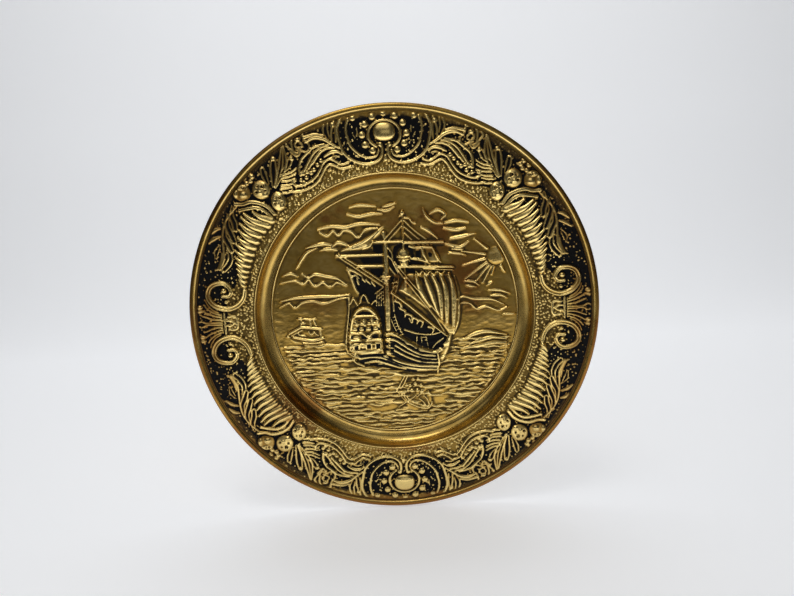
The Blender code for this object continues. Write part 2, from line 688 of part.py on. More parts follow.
def build_plaque():
    """Make the plaque, with its facets facing out and shaded smooth where they are nearly level."""
    mesh = plaque_mesh()
    work = bmesh.new()
    work.from_mesh(mesh)
    bmesh.ops.triangulate(work, faces=work.faces[:])
    bmesh.ops.recalc_face_normals(work, faces=work.faces[:])
    work.to_mesh(mesh)
    work.free()
    mesh.shade_smooth()
    mesh.set_sharp_from_angle(angle=math.radians(40))
    mesh.materials.append(brass())
    plaque = bpy.data.objects.new("plaque", mesh)
    bpy.context.scene.collection.objects.link(plaque)


clear_scene()
build_plaque()
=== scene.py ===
"""Looks of the decorative wall plaque: a round charger pressed from thin brass sheet.

The sheet is made as six closed shells that meet edge to edge: the rolled rim, the upper and lower halves
of the border, the cove, and the upper and lower halves of the ship field. The border and the field are
height fields on fine grids with the same relief pressed through to their backs, and the cove and the rim
are turned rings. The relief is drawn in shares of the plaque's radius, x to the right and z up, and is laid
over the plain sheet as strokes, bosses and panels.
"""

import logging
import math
from dataclasses import dataclass, field, fields
from enum import Enum
from typing import Iterable, Sequence

import bpy
import numpy as np
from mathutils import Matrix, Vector


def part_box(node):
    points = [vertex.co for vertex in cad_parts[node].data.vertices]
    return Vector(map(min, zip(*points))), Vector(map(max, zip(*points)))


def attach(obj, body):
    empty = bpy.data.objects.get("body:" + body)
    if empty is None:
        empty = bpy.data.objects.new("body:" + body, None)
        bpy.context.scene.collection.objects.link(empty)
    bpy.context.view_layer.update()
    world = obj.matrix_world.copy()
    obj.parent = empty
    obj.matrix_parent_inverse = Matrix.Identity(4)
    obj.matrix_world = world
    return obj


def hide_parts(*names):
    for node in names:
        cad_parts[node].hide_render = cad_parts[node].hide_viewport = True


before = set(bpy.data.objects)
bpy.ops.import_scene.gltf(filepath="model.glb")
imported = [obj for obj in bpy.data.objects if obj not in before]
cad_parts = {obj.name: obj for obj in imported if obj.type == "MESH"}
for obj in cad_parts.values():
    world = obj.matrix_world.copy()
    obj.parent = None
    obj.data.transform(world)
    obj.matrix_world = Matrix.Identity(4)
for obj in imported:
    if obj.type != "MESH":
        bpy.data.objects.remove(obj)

log = logging.getLogger("plaque")

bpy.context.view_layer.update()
Point = tuple[float, float]
Array = np.ndarray


@dataclass(frozen=True)
class Sizes:
    """The plain sheet's sizes in metres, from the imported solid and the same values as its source."""

    radius: float = float(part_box("plaque")[1][0])
    sheet: float = 0.0007
    roll: float = 0.0054
    roll_rise: float = 0.0010
    groove_width: float = 0.0016
    groove_depth: float = 0.0006
    cove_top: float = 0.1206
    cove_width: float = 0.0104
    well_depth: float = 0.0125
    cove_line_width: float = 0.0016
    cove_line_height: float = 0.0009
    well_line_width: float = 0.0018
    well_line_height: float = 0.0008

    @property
    def groove_outer(self) -> float:
        """Radius where the rolled rim meets its groove."""
        return self.radius - self.roll

    @property
    def groove_inner(self) -> float:
        """Radius where the groove meets the border's ground."""
        return self.groove_outer - self.groove_width

    @property
    def border_inner(self) -> float:
        """Radius where the border's ground meets the raised line over the cove."""
        return self.cove_top + self.cove_line_width

    @property
    def field_edge(self) -> float:
        """Radius where the cove runs out level."""
        return self.cove_top - self.cove_width

    @property
    def well(self) -> float:
        """Radius of the ship field inside its raised line."""
        return self.field_edge - self.well_line_width

    @property
    def ground(self) -> float:
        """Distance of the border's ground from the wall."""
        return self.well_depth + self.sheet


SIZES = Sizes()
MILLIMETRE = 0.001
# The drawn radii of the border's two edges and of the field, how far the field's middle lies above the
# drawing's, and how far the border's drawing leans for each unit of height
DRAWN_BORDER_INNER = 0.690
DRAWN_BORDER_OUTER = 0.958
DRAWN_FIELD_RADIUS = 0.603
FIELD_DROP = 0.011
DESIGN_SHEAR = 0.010


class Section(Enum):
    """Cross-sections of a stroke, as a height from 0 to 1 over a distance from 0 at its crest to 1 at its foot."""

    ROUND = "round"
    SOFT = "soft"
    FLAT = "flat"
    GROOVED = "grooved"
    RIMMED = "rimmed"
    MIDRIB = "midrib"

    def height(self, reach: Array) -> Array:
        """Height of the section.

        Args:
            reach: distance from the centreline in half widths.

        Returns:
            Height from 0 to 1. Round is near an ellipse, soft a bell and flat a low mesa. Grooved is a mesa
            with a line sunk down its middle, rimmed has raised edges, and midrib adds a middle line.
        """
        inside = np.clip(1 - reach, 0, 1)
        if self is Section.ROUND:
            return np.clip(1 - reach ** 2, 0, 1) ** 0.8
        if self is Section.SOFT:
            return np.clip(1 - reach ** 2, 0, 1) ** 2
        if self is Section.FLAT:
            return ease(inside / 0.35)
        if self is Section.GROOVED:
            return ease(inside / 0.3) - 0.55 * np.clip(1 - (reach / 0.26) ** 2, 0, 1)
        edge = np.clip(1 - ((reach - 0.72) / 0.30) ** 2, 0, 1)
        if self is Section.RIMMED:
            return np.where(reach < 0.72, np.maximum(edge, 0.12), edge)
        return np.where(reach < 0.72, np.maximum(edge, 0.12 + 0.7 * np.clip(1 - (reach / 0.24) ** 2, 0, 1)), edge)


def ease(share: Array) -> Array:
    """A smooth step from 0 to 1: three squares less two cubes."""
    share = np.clip(share, 0, 1)
    return share * share * (3 - 2 * share)


def path(*thousandths: float) -> list[Point]:
    """Points of a route or an outline.

    Args:
        thousandths: x and z of each point in turn, in thousandths of the drawing's unit.

    Returns:
        The points.
    """
    return [(x / 1000, z / 1000) for x, z in zip(thousandths[::2], thousandths[1::2])]


def smooth_route(points: Sequence[Point], steps: int = 7) -> Array:
    """Carry a Catmull-Rom curve through the points.

    Args:
        points: the points that the curve passes.
        steps: pieces between two points.

    Returns:
        The points of the curve, one row each.
    """
    knots = np.asarray(points, float)
    if len(knots) < 3:
        return knots
    knots = np.vstack([2 * knots[0] - knots[1], knots, 2 * knots[-1] - knots[-2]])
    share = (np.arange(steps) / steps)[:, None, None]
    a, b, c, d = knots[None, :-3], knots[None, 1:-2], knots[None, 2:-1], knots[None, 3:]
    curve = 0.5 * (2 * b + (c - a) * share + (2 * a - 5 * b + 4 * c - d) * share ** 2
                   + (3 * b - a - 3 * c + d) * share ** 3)
    return np.vstack([curve.transpose(1, 0, 2).reshape(-1, 2), knots[-2]])


def nearest_on_route(x: Array, z: Array, route: Array) -> tuple[Array, Array]:
    """Find how near each place comes to a route.

    Args:
        x: places across.
        z: places up.
        route: points of the route, one row each.

    Returns:
        The distance of each place from the route, and the share of its length where it is nearest.
    """
    starts = route[:-1]
    runs = route[1:] - starts
    squares = np.maximum((runs ** 2).sum(1), 1e-14)
    lengths = np.sqrt(squares)
    travelled = np.concatenate([[0], np.cumsum(lengths)])
    best = np.full(x.shape, np.inf)
    along = np.zeros(x.shape)
    for (start_x, start_z), (run_x, run_z), square, length, begin in zip(starts, runs, squares, lengths, travelled):
        share = np.clip(((x - start_x) * run_x + (z - start_z) * run_z) / square, 0, 1)
        gap = np.hypot(x - start_x - share * run_x, z - start_z - share * run_z)
        closer = gap < best
        best = np.where(closer, gap, best)
        along = np.where(closer, begin + share * length, along)
    return best, along / travelled[-1]


def lattice_random(column: Array, row: Array, seed: int) -> Array:
    """A fixed random number for each cell of a lattice: its whole numbers are multiplied, shifted and mixed.

    Args:
        column: whole numbers across.
        row: whole numbers up.
        seed: picks the pattern.

    Returns:
        Numbers from 0 to 1.
    """
    mixed = column.astype(np.int64) * 374761393 + row.astype(np.int64) * 668265263 + seed * 1274126177
    mixed = (mixed ^ (mixed >> 13)) * 1103515245
    mixed = mixed ^ (mixed >> 16)
    return (mixed & 0xFFFFF) / float(0xFFFFF)


def value_noise(x: Array, z: Array, size: float, seed: int, octaves: int = 3) -> Array:
    """Smooth random waves.

    Args:
        x: places across.
        z: places up.
        size: width of the largest waves, in the places' unit.
        seed: picks the pattern.
        octaves: how many finer layers are added, each half as wide and half as strong.

    Returns:
        Values that mostly lie between 0 and 1.
    """
    total = np.zeros(np.shape(x))
    weight = 0.0
    for octave in range(octaves):
        u = np.asarray(x) / size * 2 ** octave
        v = np.asarray(z) / size * 2 ** octave
        column, row = np.floor(u), np.floor(v)
        a, b = ease(u - column), ease(v - row)
        low, high = (lattice_random(column, level, seed + octave) * (1 - a)
                     + lattice_random(column + 1, level, seed + octave) * a for level in (row, row + 1))
        total += (low * (1 - b) + high * b) * 0.5 ** octave
        weight += 0.5 ** octave
    return total / weight


def pebbles(x: Array, z: Array, pitch: float, seed: int, fill: float = 0.5, share: float = 1.0) -> Array:
    """Irregular round punch marks, one at most in each cell of a jittered grid.

    Args:
        x: places across.
        z: places up.
        pitch: width of a cell.
        seed: picks the pattern.
        fill: radius of a mark in cells.
        share: the share of the cells that hold a mark.

    Returns:
        Height from 0 to 1, round over each mark.
    """
    u, v = x / pitch, z / pitch
    column, row = np.floor(u), np.floor(v)
    tallest = np.zeros(np.shape(x))
    for step_u in (-1, 0, 1):
        for step_v in (-1, 0, 1):
            cell_u, cell_v = column + step_u, row + step_v
            centre_u = cell_u + 0.2 + 0.6 * lattice_random(cell_u, cell_v, seed)
            centre_v = cell_v + 0.2 + 0.6 * lattice_random(cell_u, cell_v, seed + 7)
            size = fill * (0.6 + 0.6 * lattice_random(cell_u, cell_v, seed + 13))
            there = lattice_random(cell_u, cell_v, seed + 29) < share
            reach = np.hypot(u - centre_u, v - centre_v) / size
            tallest = np.maximum(tallest, np.where(there, np.clip(1 - reach ** 2, 0, 1) ** 0.6 * size / fill, 0))
    return tallest


@dataclass
class Relief:
    """Heights over the plain sheet, in millimetres, at places given in the drawing's own unit."""

    x: Array
    z: Array
    lift: Array = field(init=False)
    base: Array = field(init=False)
    top: Array = field(init=False)

    def __post_init__(self) -> None:
        """Start with a plain sheet."""
        self.lift = np.zeros(self.x.shape)
        self.base = np.zeros(self.x.shape)
        self.top = np.zeros(self.x.shape)

    def near(self, points: Array, margin: float) -> Array:
        """Numbers of the places that lie in the box round some points, widened by a margin."""
        low, high = points.min(0) - margin, points.max(0) + margin
        return np.nonzero((self.x > low[0]) & (self.x < high[0]) & (self.z > low[1]) & (self.z < high[1]))[0]

    def raise_to(self, places: Array, height: Array) -> None:
        """Raise places to a height where they are lower."""
        self.top[places] = np.maximum(self.top[places], height)

    def stroke(self, points: Sequence[Point], widths: float | Sequence[float], height: float,
               section: Section = Section.ROUND, pointed: bool = False, swell: bool = False) -> None:
        """Lay a stroke along a smooth curve.

        Args:
            points: points of the centreline.
            widths: half width, or half widths spread evenly from start to end.
            height: height of the crest in millimetres.
            section: shape across the stroke.
            pointed: draw the width in to nothing at both ends.
            swell: add to what lies over it instead of covering what is lower.
        """
        route = smooth_route(points)
        spread = np.atleast_1d(np.asarray(widths, float))
        places = self.near(route, spread.max() * 1.1)
        if not len(places):
            return
        gap, along = nearest_on_route(self.x[places], self.z[places], route)
        width = np.interp(along, np.linspace(0, 1, len(spread)), spread)
        if pointed:
            width = width * np.sqrt(np.clip(4 * along * (1 - along), 0, 1)) + 1e-6
        own = height * section.height(gap / width)
        if swell:
            self.lift[places] = np.maximum(self.lift[places], own)
        else:
            self.raise_to(places, own)

    def strokes(self, routes: Iterable[Sequence[Point]], widths: float | Sequence[float], height: float,
                section: Section = Section.ROUND, pointed: bool = False) -> None:
        """Lay several strokes of one kind."""
        for route in routes:
            self.stroke(route, widths, height, section, pointed)

    def boss(self, centre: Point, radii: Point, height: float, squareness: float = 2.0) -> None:
        """Raise a dome.

        Args:
            centre: middle of the dome.
            radii: half width and half height.
            height: height in millimetres.
            squareness: 2 for an ellipse, more for a rounded square.
        """
        middle = np.array([centre])
        places = self.near(middle, max(radii) * 1.05)
        across = np.abs((self.x[places] - centre[0]) / radii[0]) ** squareness
        up = np.abs((self.z[places] - centre[1]) / radii[1]) ** squareness
        reach = (across + up) ** (1 / squareness)
        own = height * np.clip(1 - reach ** 2, 0, 1) ** 0.55
        inside = reach < 1
        self.raise_to(places[inside], own[inside])

    def beads(self, centres: Iterable[Point], radius: float, height: float) -> None:
        """Raise a bead at each centre."""
        for centre in centres:
            self.boss(centre, (radius, radius), height)

    def panel(self, corners: Sequence[Point], height: float, slope: float, crown: float = 0.0) -> None:
        """Raise a flat area, which later strokes ride on.

        Args:
            corners: outline, in order.
            height: height of the flat in millimetres.
            slope: width of the sloping edge.
            crown: extra height in millimetres where the panel is widest.
        """
        outline = np.vstack([corners, corners[:1]])
        places = self.near(outline, 0.002)
        x, z = self.x[places], self.z[places]
        gap, _ = nearest_on_route(x, z, outline)
        inside = inside_outline(x, z, outline)
        bulge = crown * np.sqrt(np.clip(gap / max(gap[inside].max(), 1e-6), 0, 1)) if inside.any() else 0
        own = np.where(inside, (height + bulge) * ease(gap / slope), 0)
        self.base[places] = np.maximum(self.base[places], own)

    def sink(self, centre: Point, radius: float, depth: float) -> None:
        """Press a round pit back into what lies there.

        Args:
            centre: middle of the pit.
            radius: its radius.
            depth: its depth in millimetres.
        """
        places = self.near(np.array([centre]), radius)
        gap = np.hypot(self.x[places] - centre[0], self.z[places] - centre[1])
        self.lift[places] -= depth * ease(1 - gap / radius)

    @property
    def height(self) -> Array:
        """Height of the relief in millimetres: strokes and bosses ride on the panels."""
        return np.maximum(self.lift + self.base + self.top, 0)


def inside_outline(x: Array, z: Array, outline: Array) -> Array:
    """Find the places inside a closed outline, by counting how often a ray to the right crosses it.

    Args:
        x: places across.
        z: places up.
        outline: its corners, the first repeated at the end.

    Returns:
        True for each place inside.
    """
    inside = np.zeros(x.shape, bool)
    for (x0, z0), (x1, z1) in zip(outline[:-1], outline[1:]):
        crosses = (z0 > z) != (z1 > z)
        level = (z - z0) / (z1 - z0 if z1 != z0 else 1e-12)
        inside ^= crosses & (x < x0 + (x1 - x0) * level)
    return inside


class BorderDrawing:
    """The border's ornament. It is drawn once, in the upper right quarter, and folded to the others."""

    # Inner and outer ends of the horn's ribs, from its mouth to its tail, and how many of them are wide
    RIB_FEET: list[Point] = path(558, 490, 578, 468, 602, 446, 624, 421, 641, 394, 656, 366, 668, 337, 679, 309,
                                 689, 281, 698, 255, 705, 230, 711, 206, 715, 184)
    RIB_TIPS: list[Point] = path(640, 530, 684, 524, 699, 508, 707, 478, 714, 446, 723, 413, 734, 382, 741, 352,
                                 745, 322, 745, 293, 744, 265, 743, 239, 741, 214)
    WIDE_RIBS = 6
    # The stipple of the gold ground and the dots of the black one: pitch in the drawing's unit, and the
    # stipple's height in millimetres
    STIPPLE_PITCH, STIPPLE_HEIGHT, DOT_PITCH = 0.0175, 0.95, 0.0200
    # The beaded line at the border's foot: radius, half width, height in millimetres and number of beads
    BEADED_RADIUS, BEADED_HALF_WIDTH, BEADED_HEIGHT, BEADS = 0.697, 0.0062, 0.45, 300
    # Angle in degrees from the side and the drawn radius where the black ground gives way to the gold one
    BLACK_EDGE: dict[float, float] = {
        0: 0.805, 4: 0.815, 8: 0.812, 12: 0.790, 17: 0.765, 22: 0.757, 30: 0.757, 38: 0.768, 44: 0.745, 50: 0.760,
        56: 0.740, 62: 0.735, 67: 0.760, 72: 0.772, 77: 0.745, 83: 0.735, 87: 0.740, 90: 0.755}

    def __init__(self, x: Array, z: Array) -> None:
        """Fold the places into one quarter.

        Args:
            x: drawn places across.
            z: drawn places up.
        """
        self.x = x + DESIGN_SHEAR * z
        self.z = z
        self.relief = Relief(np.abs(self.x), np.abs(self.z))
        self.lower = z < 0

    def cartouche(self) -> None:
        """Two curved lines, the ringed stone and the beads round it."""
        relief = self.relief
        outer = path(18, 813, 13, 790, 18, 762.5, 35, 742, 65, 730, 100, 729, 138, 739, 173, 760, 197, 789,
                     209, 827, 217, 868, 215, 900, 196, 940)
        inner = path(30, 785, 44, 761, 79, 755, 112, 765.5, 141, 789, 161.5, 815, 170, 845, 176, 874, 174, 903,
                     164, 930)
        relief.stroke(outer, 0.0078, 1.5)
        relief.stroke(inner, 0.0062, 1.3)
        relief.beads([(0.021, 0.812)], 0.0125, 1.7)
        turns = np.radians(np.linspace(-58, 90, 14))
        ring = np.column_stack([0.075 * np.cos(turns), 0.856 + 0.062 * np.sin(turns)])
        relief.stroke(ring, 0.0075, 1.6)
        relief.boss((0.0, 0.868), (0.053, 0.044), 3.5, squareness=2.3)
        beads = path(52, 935, 88, 903, 103, 857, 91, 813, 57, 786)
        relief.beads(beads, 0.0165, 1.7)
        relief.beads(path(142, 933, 0, 948), 0.014, 1.2)
        relief.boss((0.0, 0.752), (0.010, 0.018), 1.3)
        relief.strokes([path(124, 860, 126, 890), path(135, 845, 145, 860)], 0.004, 0.7)

    def upright_leaves(self) -> None:
        """The narrow leaves that stand between the cartouche and the acanthus."""
        relief = self.relief
        relief.stroke(path(226, 832, 225, 875, 230, 925), 0.0055, 1.1)
        relief.stroke(path(245, 835, 245, 870, 238, 900), 0.0060, 1.2)
        relief.beads([(0.236, 0.907)], 0.012, 1.5)
        relief.stroke(path(258, 845, 271, 885, 262, 928), 0.0150, 1.2, Section.RIMMED, pointed=True)

    def acanthus(self) -> None:
        """The spread leaf beside the cartouche, its lobes springing from one root."""
        relief = self.relief
        relief.stroke(path(213, 803, 245, 822, 282, 846, 325, 853, 366, 836), (0.006, 0.010, 0.011, 0.007), 1.7)
        relief.stroke(path(284, 862, 318, 868, 352, 861, 372, 855), (0.006, 0.009, 0.010), 1.6)
        relief.strokes([
            path(236, 806, 272, 803, 302, 788, 325, 762, 343, 738),
            path(262, 818, 300, 808, 335, 782, 362, 744, 385, 708, 404, 694),
            path(280, 823, 318, 815, 348, 803),
            path(346, 800, 372, 778, 395, 755, 406, 722, 402, 688),
            path(300, 795, 335, 755, 362, 718)], 0.0072, 1.5)
        relief.stroke(path(203, 776, 222, 788, 252, 786, 284, 768), (0.006, 0.011, 0.006), 1.6)
        relief.stroke(path(215, 765, 240, 768, 262, 758), 0.005, 0.9)

    def ribbon(self) -> None:
        """The pair of lines that sweeps from the cartouche to the fruit, with beads along its bend."""
        relief = self.relief
        relief.stroke(path(175, 738, 205, 730, 230, 742, 255, 757, 290, 742, 312, 705, 340, 672, 375, 651, 415, 640,
                           436, 648, 442, 668), 0.0070, 1.5)
        relief.stroke(path(165, 719, 205, 712, 235, 724, 262, 733, 285, 716, 308, 680, 335, 648, 375, 626, 425, 615,
                           462, 618), 0.0070, 1.5)
        relief.beads(path(302, 751, 319, 732, 337, 711, 352, 697, 370, 702, 389, 695, 376, 677, 402, 667, 388, 655),
                     0.0105, 1.4)

    def rosette(self) -> None:
        """Four looped petals round a bead, near the rim."""
        relief = self.relief
        relief.boss((0.402, 0.848), (0.014, 0.010), 1.9)
        relief.strokes([
            path(378, 876, 373, 848, 354, 828, 351, 808, 368, 792, 388, 798, 412, 804),
            path(378, 874, 400, 878, 422, 866, 432, 842, 427, 804, 412, 776),
            path(451, 846, 457, 828, 436, 804, 416, 790, 395, 792, 412, 774, 440, 796),
            path(382, 826, 400, 842, 417, 826, 402, 809, 383, 818)], 0.0055, 1.2)

    def leaf_cluster(self) -> None:
        """The tall leaves over the fruit: a lance leaf, curled lobes and a fan of short ones."""
        relief = self.relief
        relief.stroke(path(524, 640, 500, 688, 482, 735, 476, 780, 475, 832),
                      (0.006, 0.012, 0.021, 0.024, 0.015, 0.004), 1.6, Section.MIDRIB)
        relief.stroke(path(492, 700, 462, 728, 440, 766), (0.006, 0.012, 0.014, 0.012), 1.5,
                      Section.RIMMED)
        relief.stroke(path(534, 645, 528, 690, 526, 730, 522, 765),
                      (0.006, 0.013, 0.019, 0.018, 0.012), 1.6, Section.RIMMED)
        relief.beads(path(439, 764, 522, 764), 0.0085, 1.8)
        relief.stroke(path(556, 655, 570, 690, 577, 722), (0.005, 0.012, 0.016, 0.012), 1.5,
                      Section.RIMMED)
        relief.strokes([
            path(496, 690, 455, 700, 424, 717), path(492, 678, 455, 684, 424, 700),
            path(490, 664, 460, 666, 431, 674), path(495, 645, 458, 648, 426, 664),
            path(500, 630, 470, 632, 446, 638), path(492, 612, 468, 612, 449, 620)], (0.008, 0.007, 0.005), 1.5)

    def fruits(self) -> None:
        """Three fruits in the mouth of the horn, each with an eye, lobes and creases, and loose berries."""
        relief = self.relief
        fruits = {(0.516, 0.574): (0.037, 0.046), (0.592, 0.629): (0.044, 0.046)}
        for (x, z), (across, up) in fruits.items():
            relief.boss((x, z), (across, up), 2.7)
            relief.boss((x - 0.20 * across, z + 0.34 * up), (0.50 * across, 0.44 * up), 3.3)
            relief.boss((x - 0.40 * across, z - 0.50 * up), (0.40 * across, 0.36 * up), 2.8)
            relief.boss((x + 0.10 * across, z - 0.26 * up), (0.36 * across, 0.36 * up), 3.5)
            relief.sink((x + 0.50 * across, z - 0.24 * up), 0.20 * across, 2.0)
            relief.sink((x - 0.46 * across, z - 0.08 * up), 0.17 * across, 1.6)
            relief.sink((x - 0.20 * across, z + 0.36 * up), 0.30 * across, 3.4)
            relief.sink((x + 0.34 * across, z + 0.34 * up), 0.17 * across, 1.4)
        relief.boss((0.680, 0.617), (0.041, 0.044), 2.1)
        relief.boss((0.680, 0.641), (0.032, 0.017), 2.9)
        relief.boss((0.675, 0.609), (0.0220, 0.0210), 3.3)
        relief.boss((0.711, 0.615), (0.014, 0.024), 2.8)
        relief.sink((0.669, 0.640), 0.0085, 2.4)
        relief.sink((0.684, 0.643), 0.0070, 2.0)
        relief.beads(path(643, 705, 667, 684, 636, 671, 656, 660, 628, 690), 0.0130, 1.9)

    def horn(self) -> None:
        """The horn of plenty: a tapering swell with a banded mouth and ribs down to its tail."""
        relief = self.relief
        relief.stroke(path(625, 530, 655, 455, 690, 365, 715, 280, 727, 180),
                      (0.078, 0.062, 0.042, 0.032, 0.020), 1.6, Section.SOFT, swell=True)
        relief.stroke(path(542, 517, 566, 548, 600, 567, 645, 576, 683, 566, 718, 568), 0.0105, 1.5, Section.FLAT)
        relief.stroke(path(553, 498, 584, 531, 619, 548, 664, 545, 702, 538), 0.0095, 1.4,
                      Section.FLAT)
        for index, (start, end) in enumerate(zip(self.RIB_FEET, self.RIB_TIPS)):
            sag = 0.08 * (end[0] - start[0])
            middle = ((start[0] + end[0]) / 2 + sag, (start[1] + end[1]) / 2 - sag)
            past_wide = index - self.WIDE_RIBS
            width = 0.0225 if past_wide < 0 else 0.0215 - 0.0012 * past_wide
            relief.stroke([(start[0], start[1] - 0.004), middle, end],
                          (0.85 * width, width, 0.78 * width, 0.52 * width, 0.34 * width), 2.4)

    def outer_branch(self) -> None:
        """The leafy branch between the horn and the rim."""
        relief = self.relief
        relief.stroke(path(712, 560, 752, 520, 782, 475, 795, 420, 797, 360, 800, 310, 826, 262), 0.0060, 1.2)
        relief.strokes([
            path(735, 555, 742, 515, 733, 480, 731, 452),
            path(758, 520, 766, 470, 752, 425, 742, 395),
            path(782, 470, 784, 420, 770, 385, 760, 352),
            path(778, 372, 768, 325, 780, 290, 806, 262)], (0.006, 0.012, 0.016, 0.014), 1.4, Section.RIMMED)
        relief.strokes([
            path(806, 340, 812, 300, 832, 268, 846, 262), path(802, 458, 826, 452, 850, 434),
            path(806, 420, 832, 412, 862, 392)], (0.006, 0.012, 0.005), 1.0)
        relief.stroke(path(812, 378, 830, 352, 838, 318), (0.004, 0.014, 0.004), 1.3, Section.RIMMED)

    def tail_scroll(self) -> None:
        """The scroll at the end of the horn's tail, a grooved band wound round a bead."""
        relief = self.relief
        relief.stroke(path(717, 160, 728, 120, 754, 90, 791, 73, 828, 73, 865, 89, 889, 119, 894, 151, 879, 181,
                           849, 196, 813, 195, 790, 176, 783, 152, 796, 134, 826, 133),
                      (0.011, 0.0145, 0.0150, 0.0145, 0.0135, 0.0120, 0.0090), 2.1, Section.GROOVED)
        relief.boss((0.817, 0.160), (0.0150, 0.0140), 2.9)
        relief.beads([(0.813, 0.104)], 0.0095, 1.3)

    def side_fan(self) -> None:
        """The fan between the side scrolls: an upright bar, curved rays and paired beads."""
        relief = self.relief
        relief.stroke(path(828, 0, 828, 52), 0.0055, 1.1)
        relief.stroke(path(842, 0, 842, 48), 0.0040, 0.9)
        relief.strokes([
            path(846, 5, 880, 5, 915, 4, 940, 14, 955, 10),
            path(846, 18, 885, 22, 915, 34, 932, 40),
            path(848, 31, 880, 40, 910, 54, 926, 66),
            path(850, 44, 880, 56, 905, 76, 916, 92),
            path(855, 56, 880, 70, 900, 94, 908, 116)], (0.0050, 0.0055, 0.0040), 1.2)
        relief.boss((0.944, 0.064), (0.020, 0.010), 1.7)
        relief.boss((0.942, 0.083), (0.018, 0.011), 1.9)
        relief.strokes([path(770, 0, 772, 26, 790, 34, 812, 30),
                        path(782, 0, 800, 12, 818, 12)], 0.006, 0.9)

    def draw(self) -> Relief:
        """Draw the whole border and its punched ground.

        Returns:
            The relief, with the ground's punch marks included.
        """
        for motif in (self.cartouche, self.upright_leaves, self.acanthus, self.ribbon, self.rosette,
                      self.leaf_cluster, self.fruits, self.horn, self.outer_branch, self.tail_scroll,
                      self.side_fan):
            motif()
        radius = np.hypot(self.x, self.z)
        gold = 1 - self.black_ground()
        everywhere = np.arange(len(radius))
        clear = 1 - ease(self.relief.top / 0.3)
        fade = (0.35 + 0.65 * ease((0.945 - radius) / 0.03)) * clear
        for seed, squeeze in ((3, 0.55), (19, -0.55)):
            marks = pebbles(self.x + squeeze * self.z, self.z - squeeze * self.x, self.STIPPLE_PITCH, seed,
                            0.32, 0.62)
            self.relief.raise_to(everywhere, self.STIPPLE_HEIGHT * marks * gold * fade)
        row = np.clip(1 - ((radius - self.BEADED_RADIUS) / self.BEADED_HALF_WIDTH) ** 2, 0, 1)
        beaded = 0.5 + 0.5 * np.cos(np.arctan2(self.z, self.x) * self.BEADS)
        self.relief.raise_to(everywhere, self.BEADED_HEIGHT * row * beaded)
        for seed, turn in ((11, 0.4), (23, -0.7)):
            dots = pebbles(self.x + turn * self.z, self.z - turn * self.x, self.DOT_PITCH, seed, 0.27, 0.50)
            self.relief.raise_to(everywhere, dots * (1 - gold) * clear)
        return self.relief

    def black_ground(self) -> Array:
        """Where the black paint lies in the ground, by the drawn radius at each angle.

        Its inner edge runs lower under the ribbon of the lower half, both edges are a little ragged, and it is
        worn toward the rim except at the sides.

        Returns:
            Strength of the paint from 0 to 1.
        """
        radius = np.hypot(self.x, self.z)
        angle = np.degrees(np.arctan2(np.abs(self.z), np.abs(self.x)))
        edge = np.interp(angle, list(self.BLACK_EDGE), list(self.BLACK_EDGE.values()))
        under_ribbon = np.exp(-((angle - 64) / 9) ** 2)
        edge = edge + np.where(self.lower, 0.045 * under_ribbon + 0.008, 0)
        ragged = 0.012 * (value_noise(self.x, self.z, 0.03, 17) - 0.5)
        outer = 0.984 - 0.020 * ease((angle - 60) / 20)
        worn = 1 - 0.42 * ease((radius - 0.920) / 0.025) * (0.15 + 0.85 * ease((angle - 14) / 18))
        return ease((radius - edge + ragged) / 0.010 + 0.5) * ease((outer + ragged * 3 - radius) / 0.030) * worn


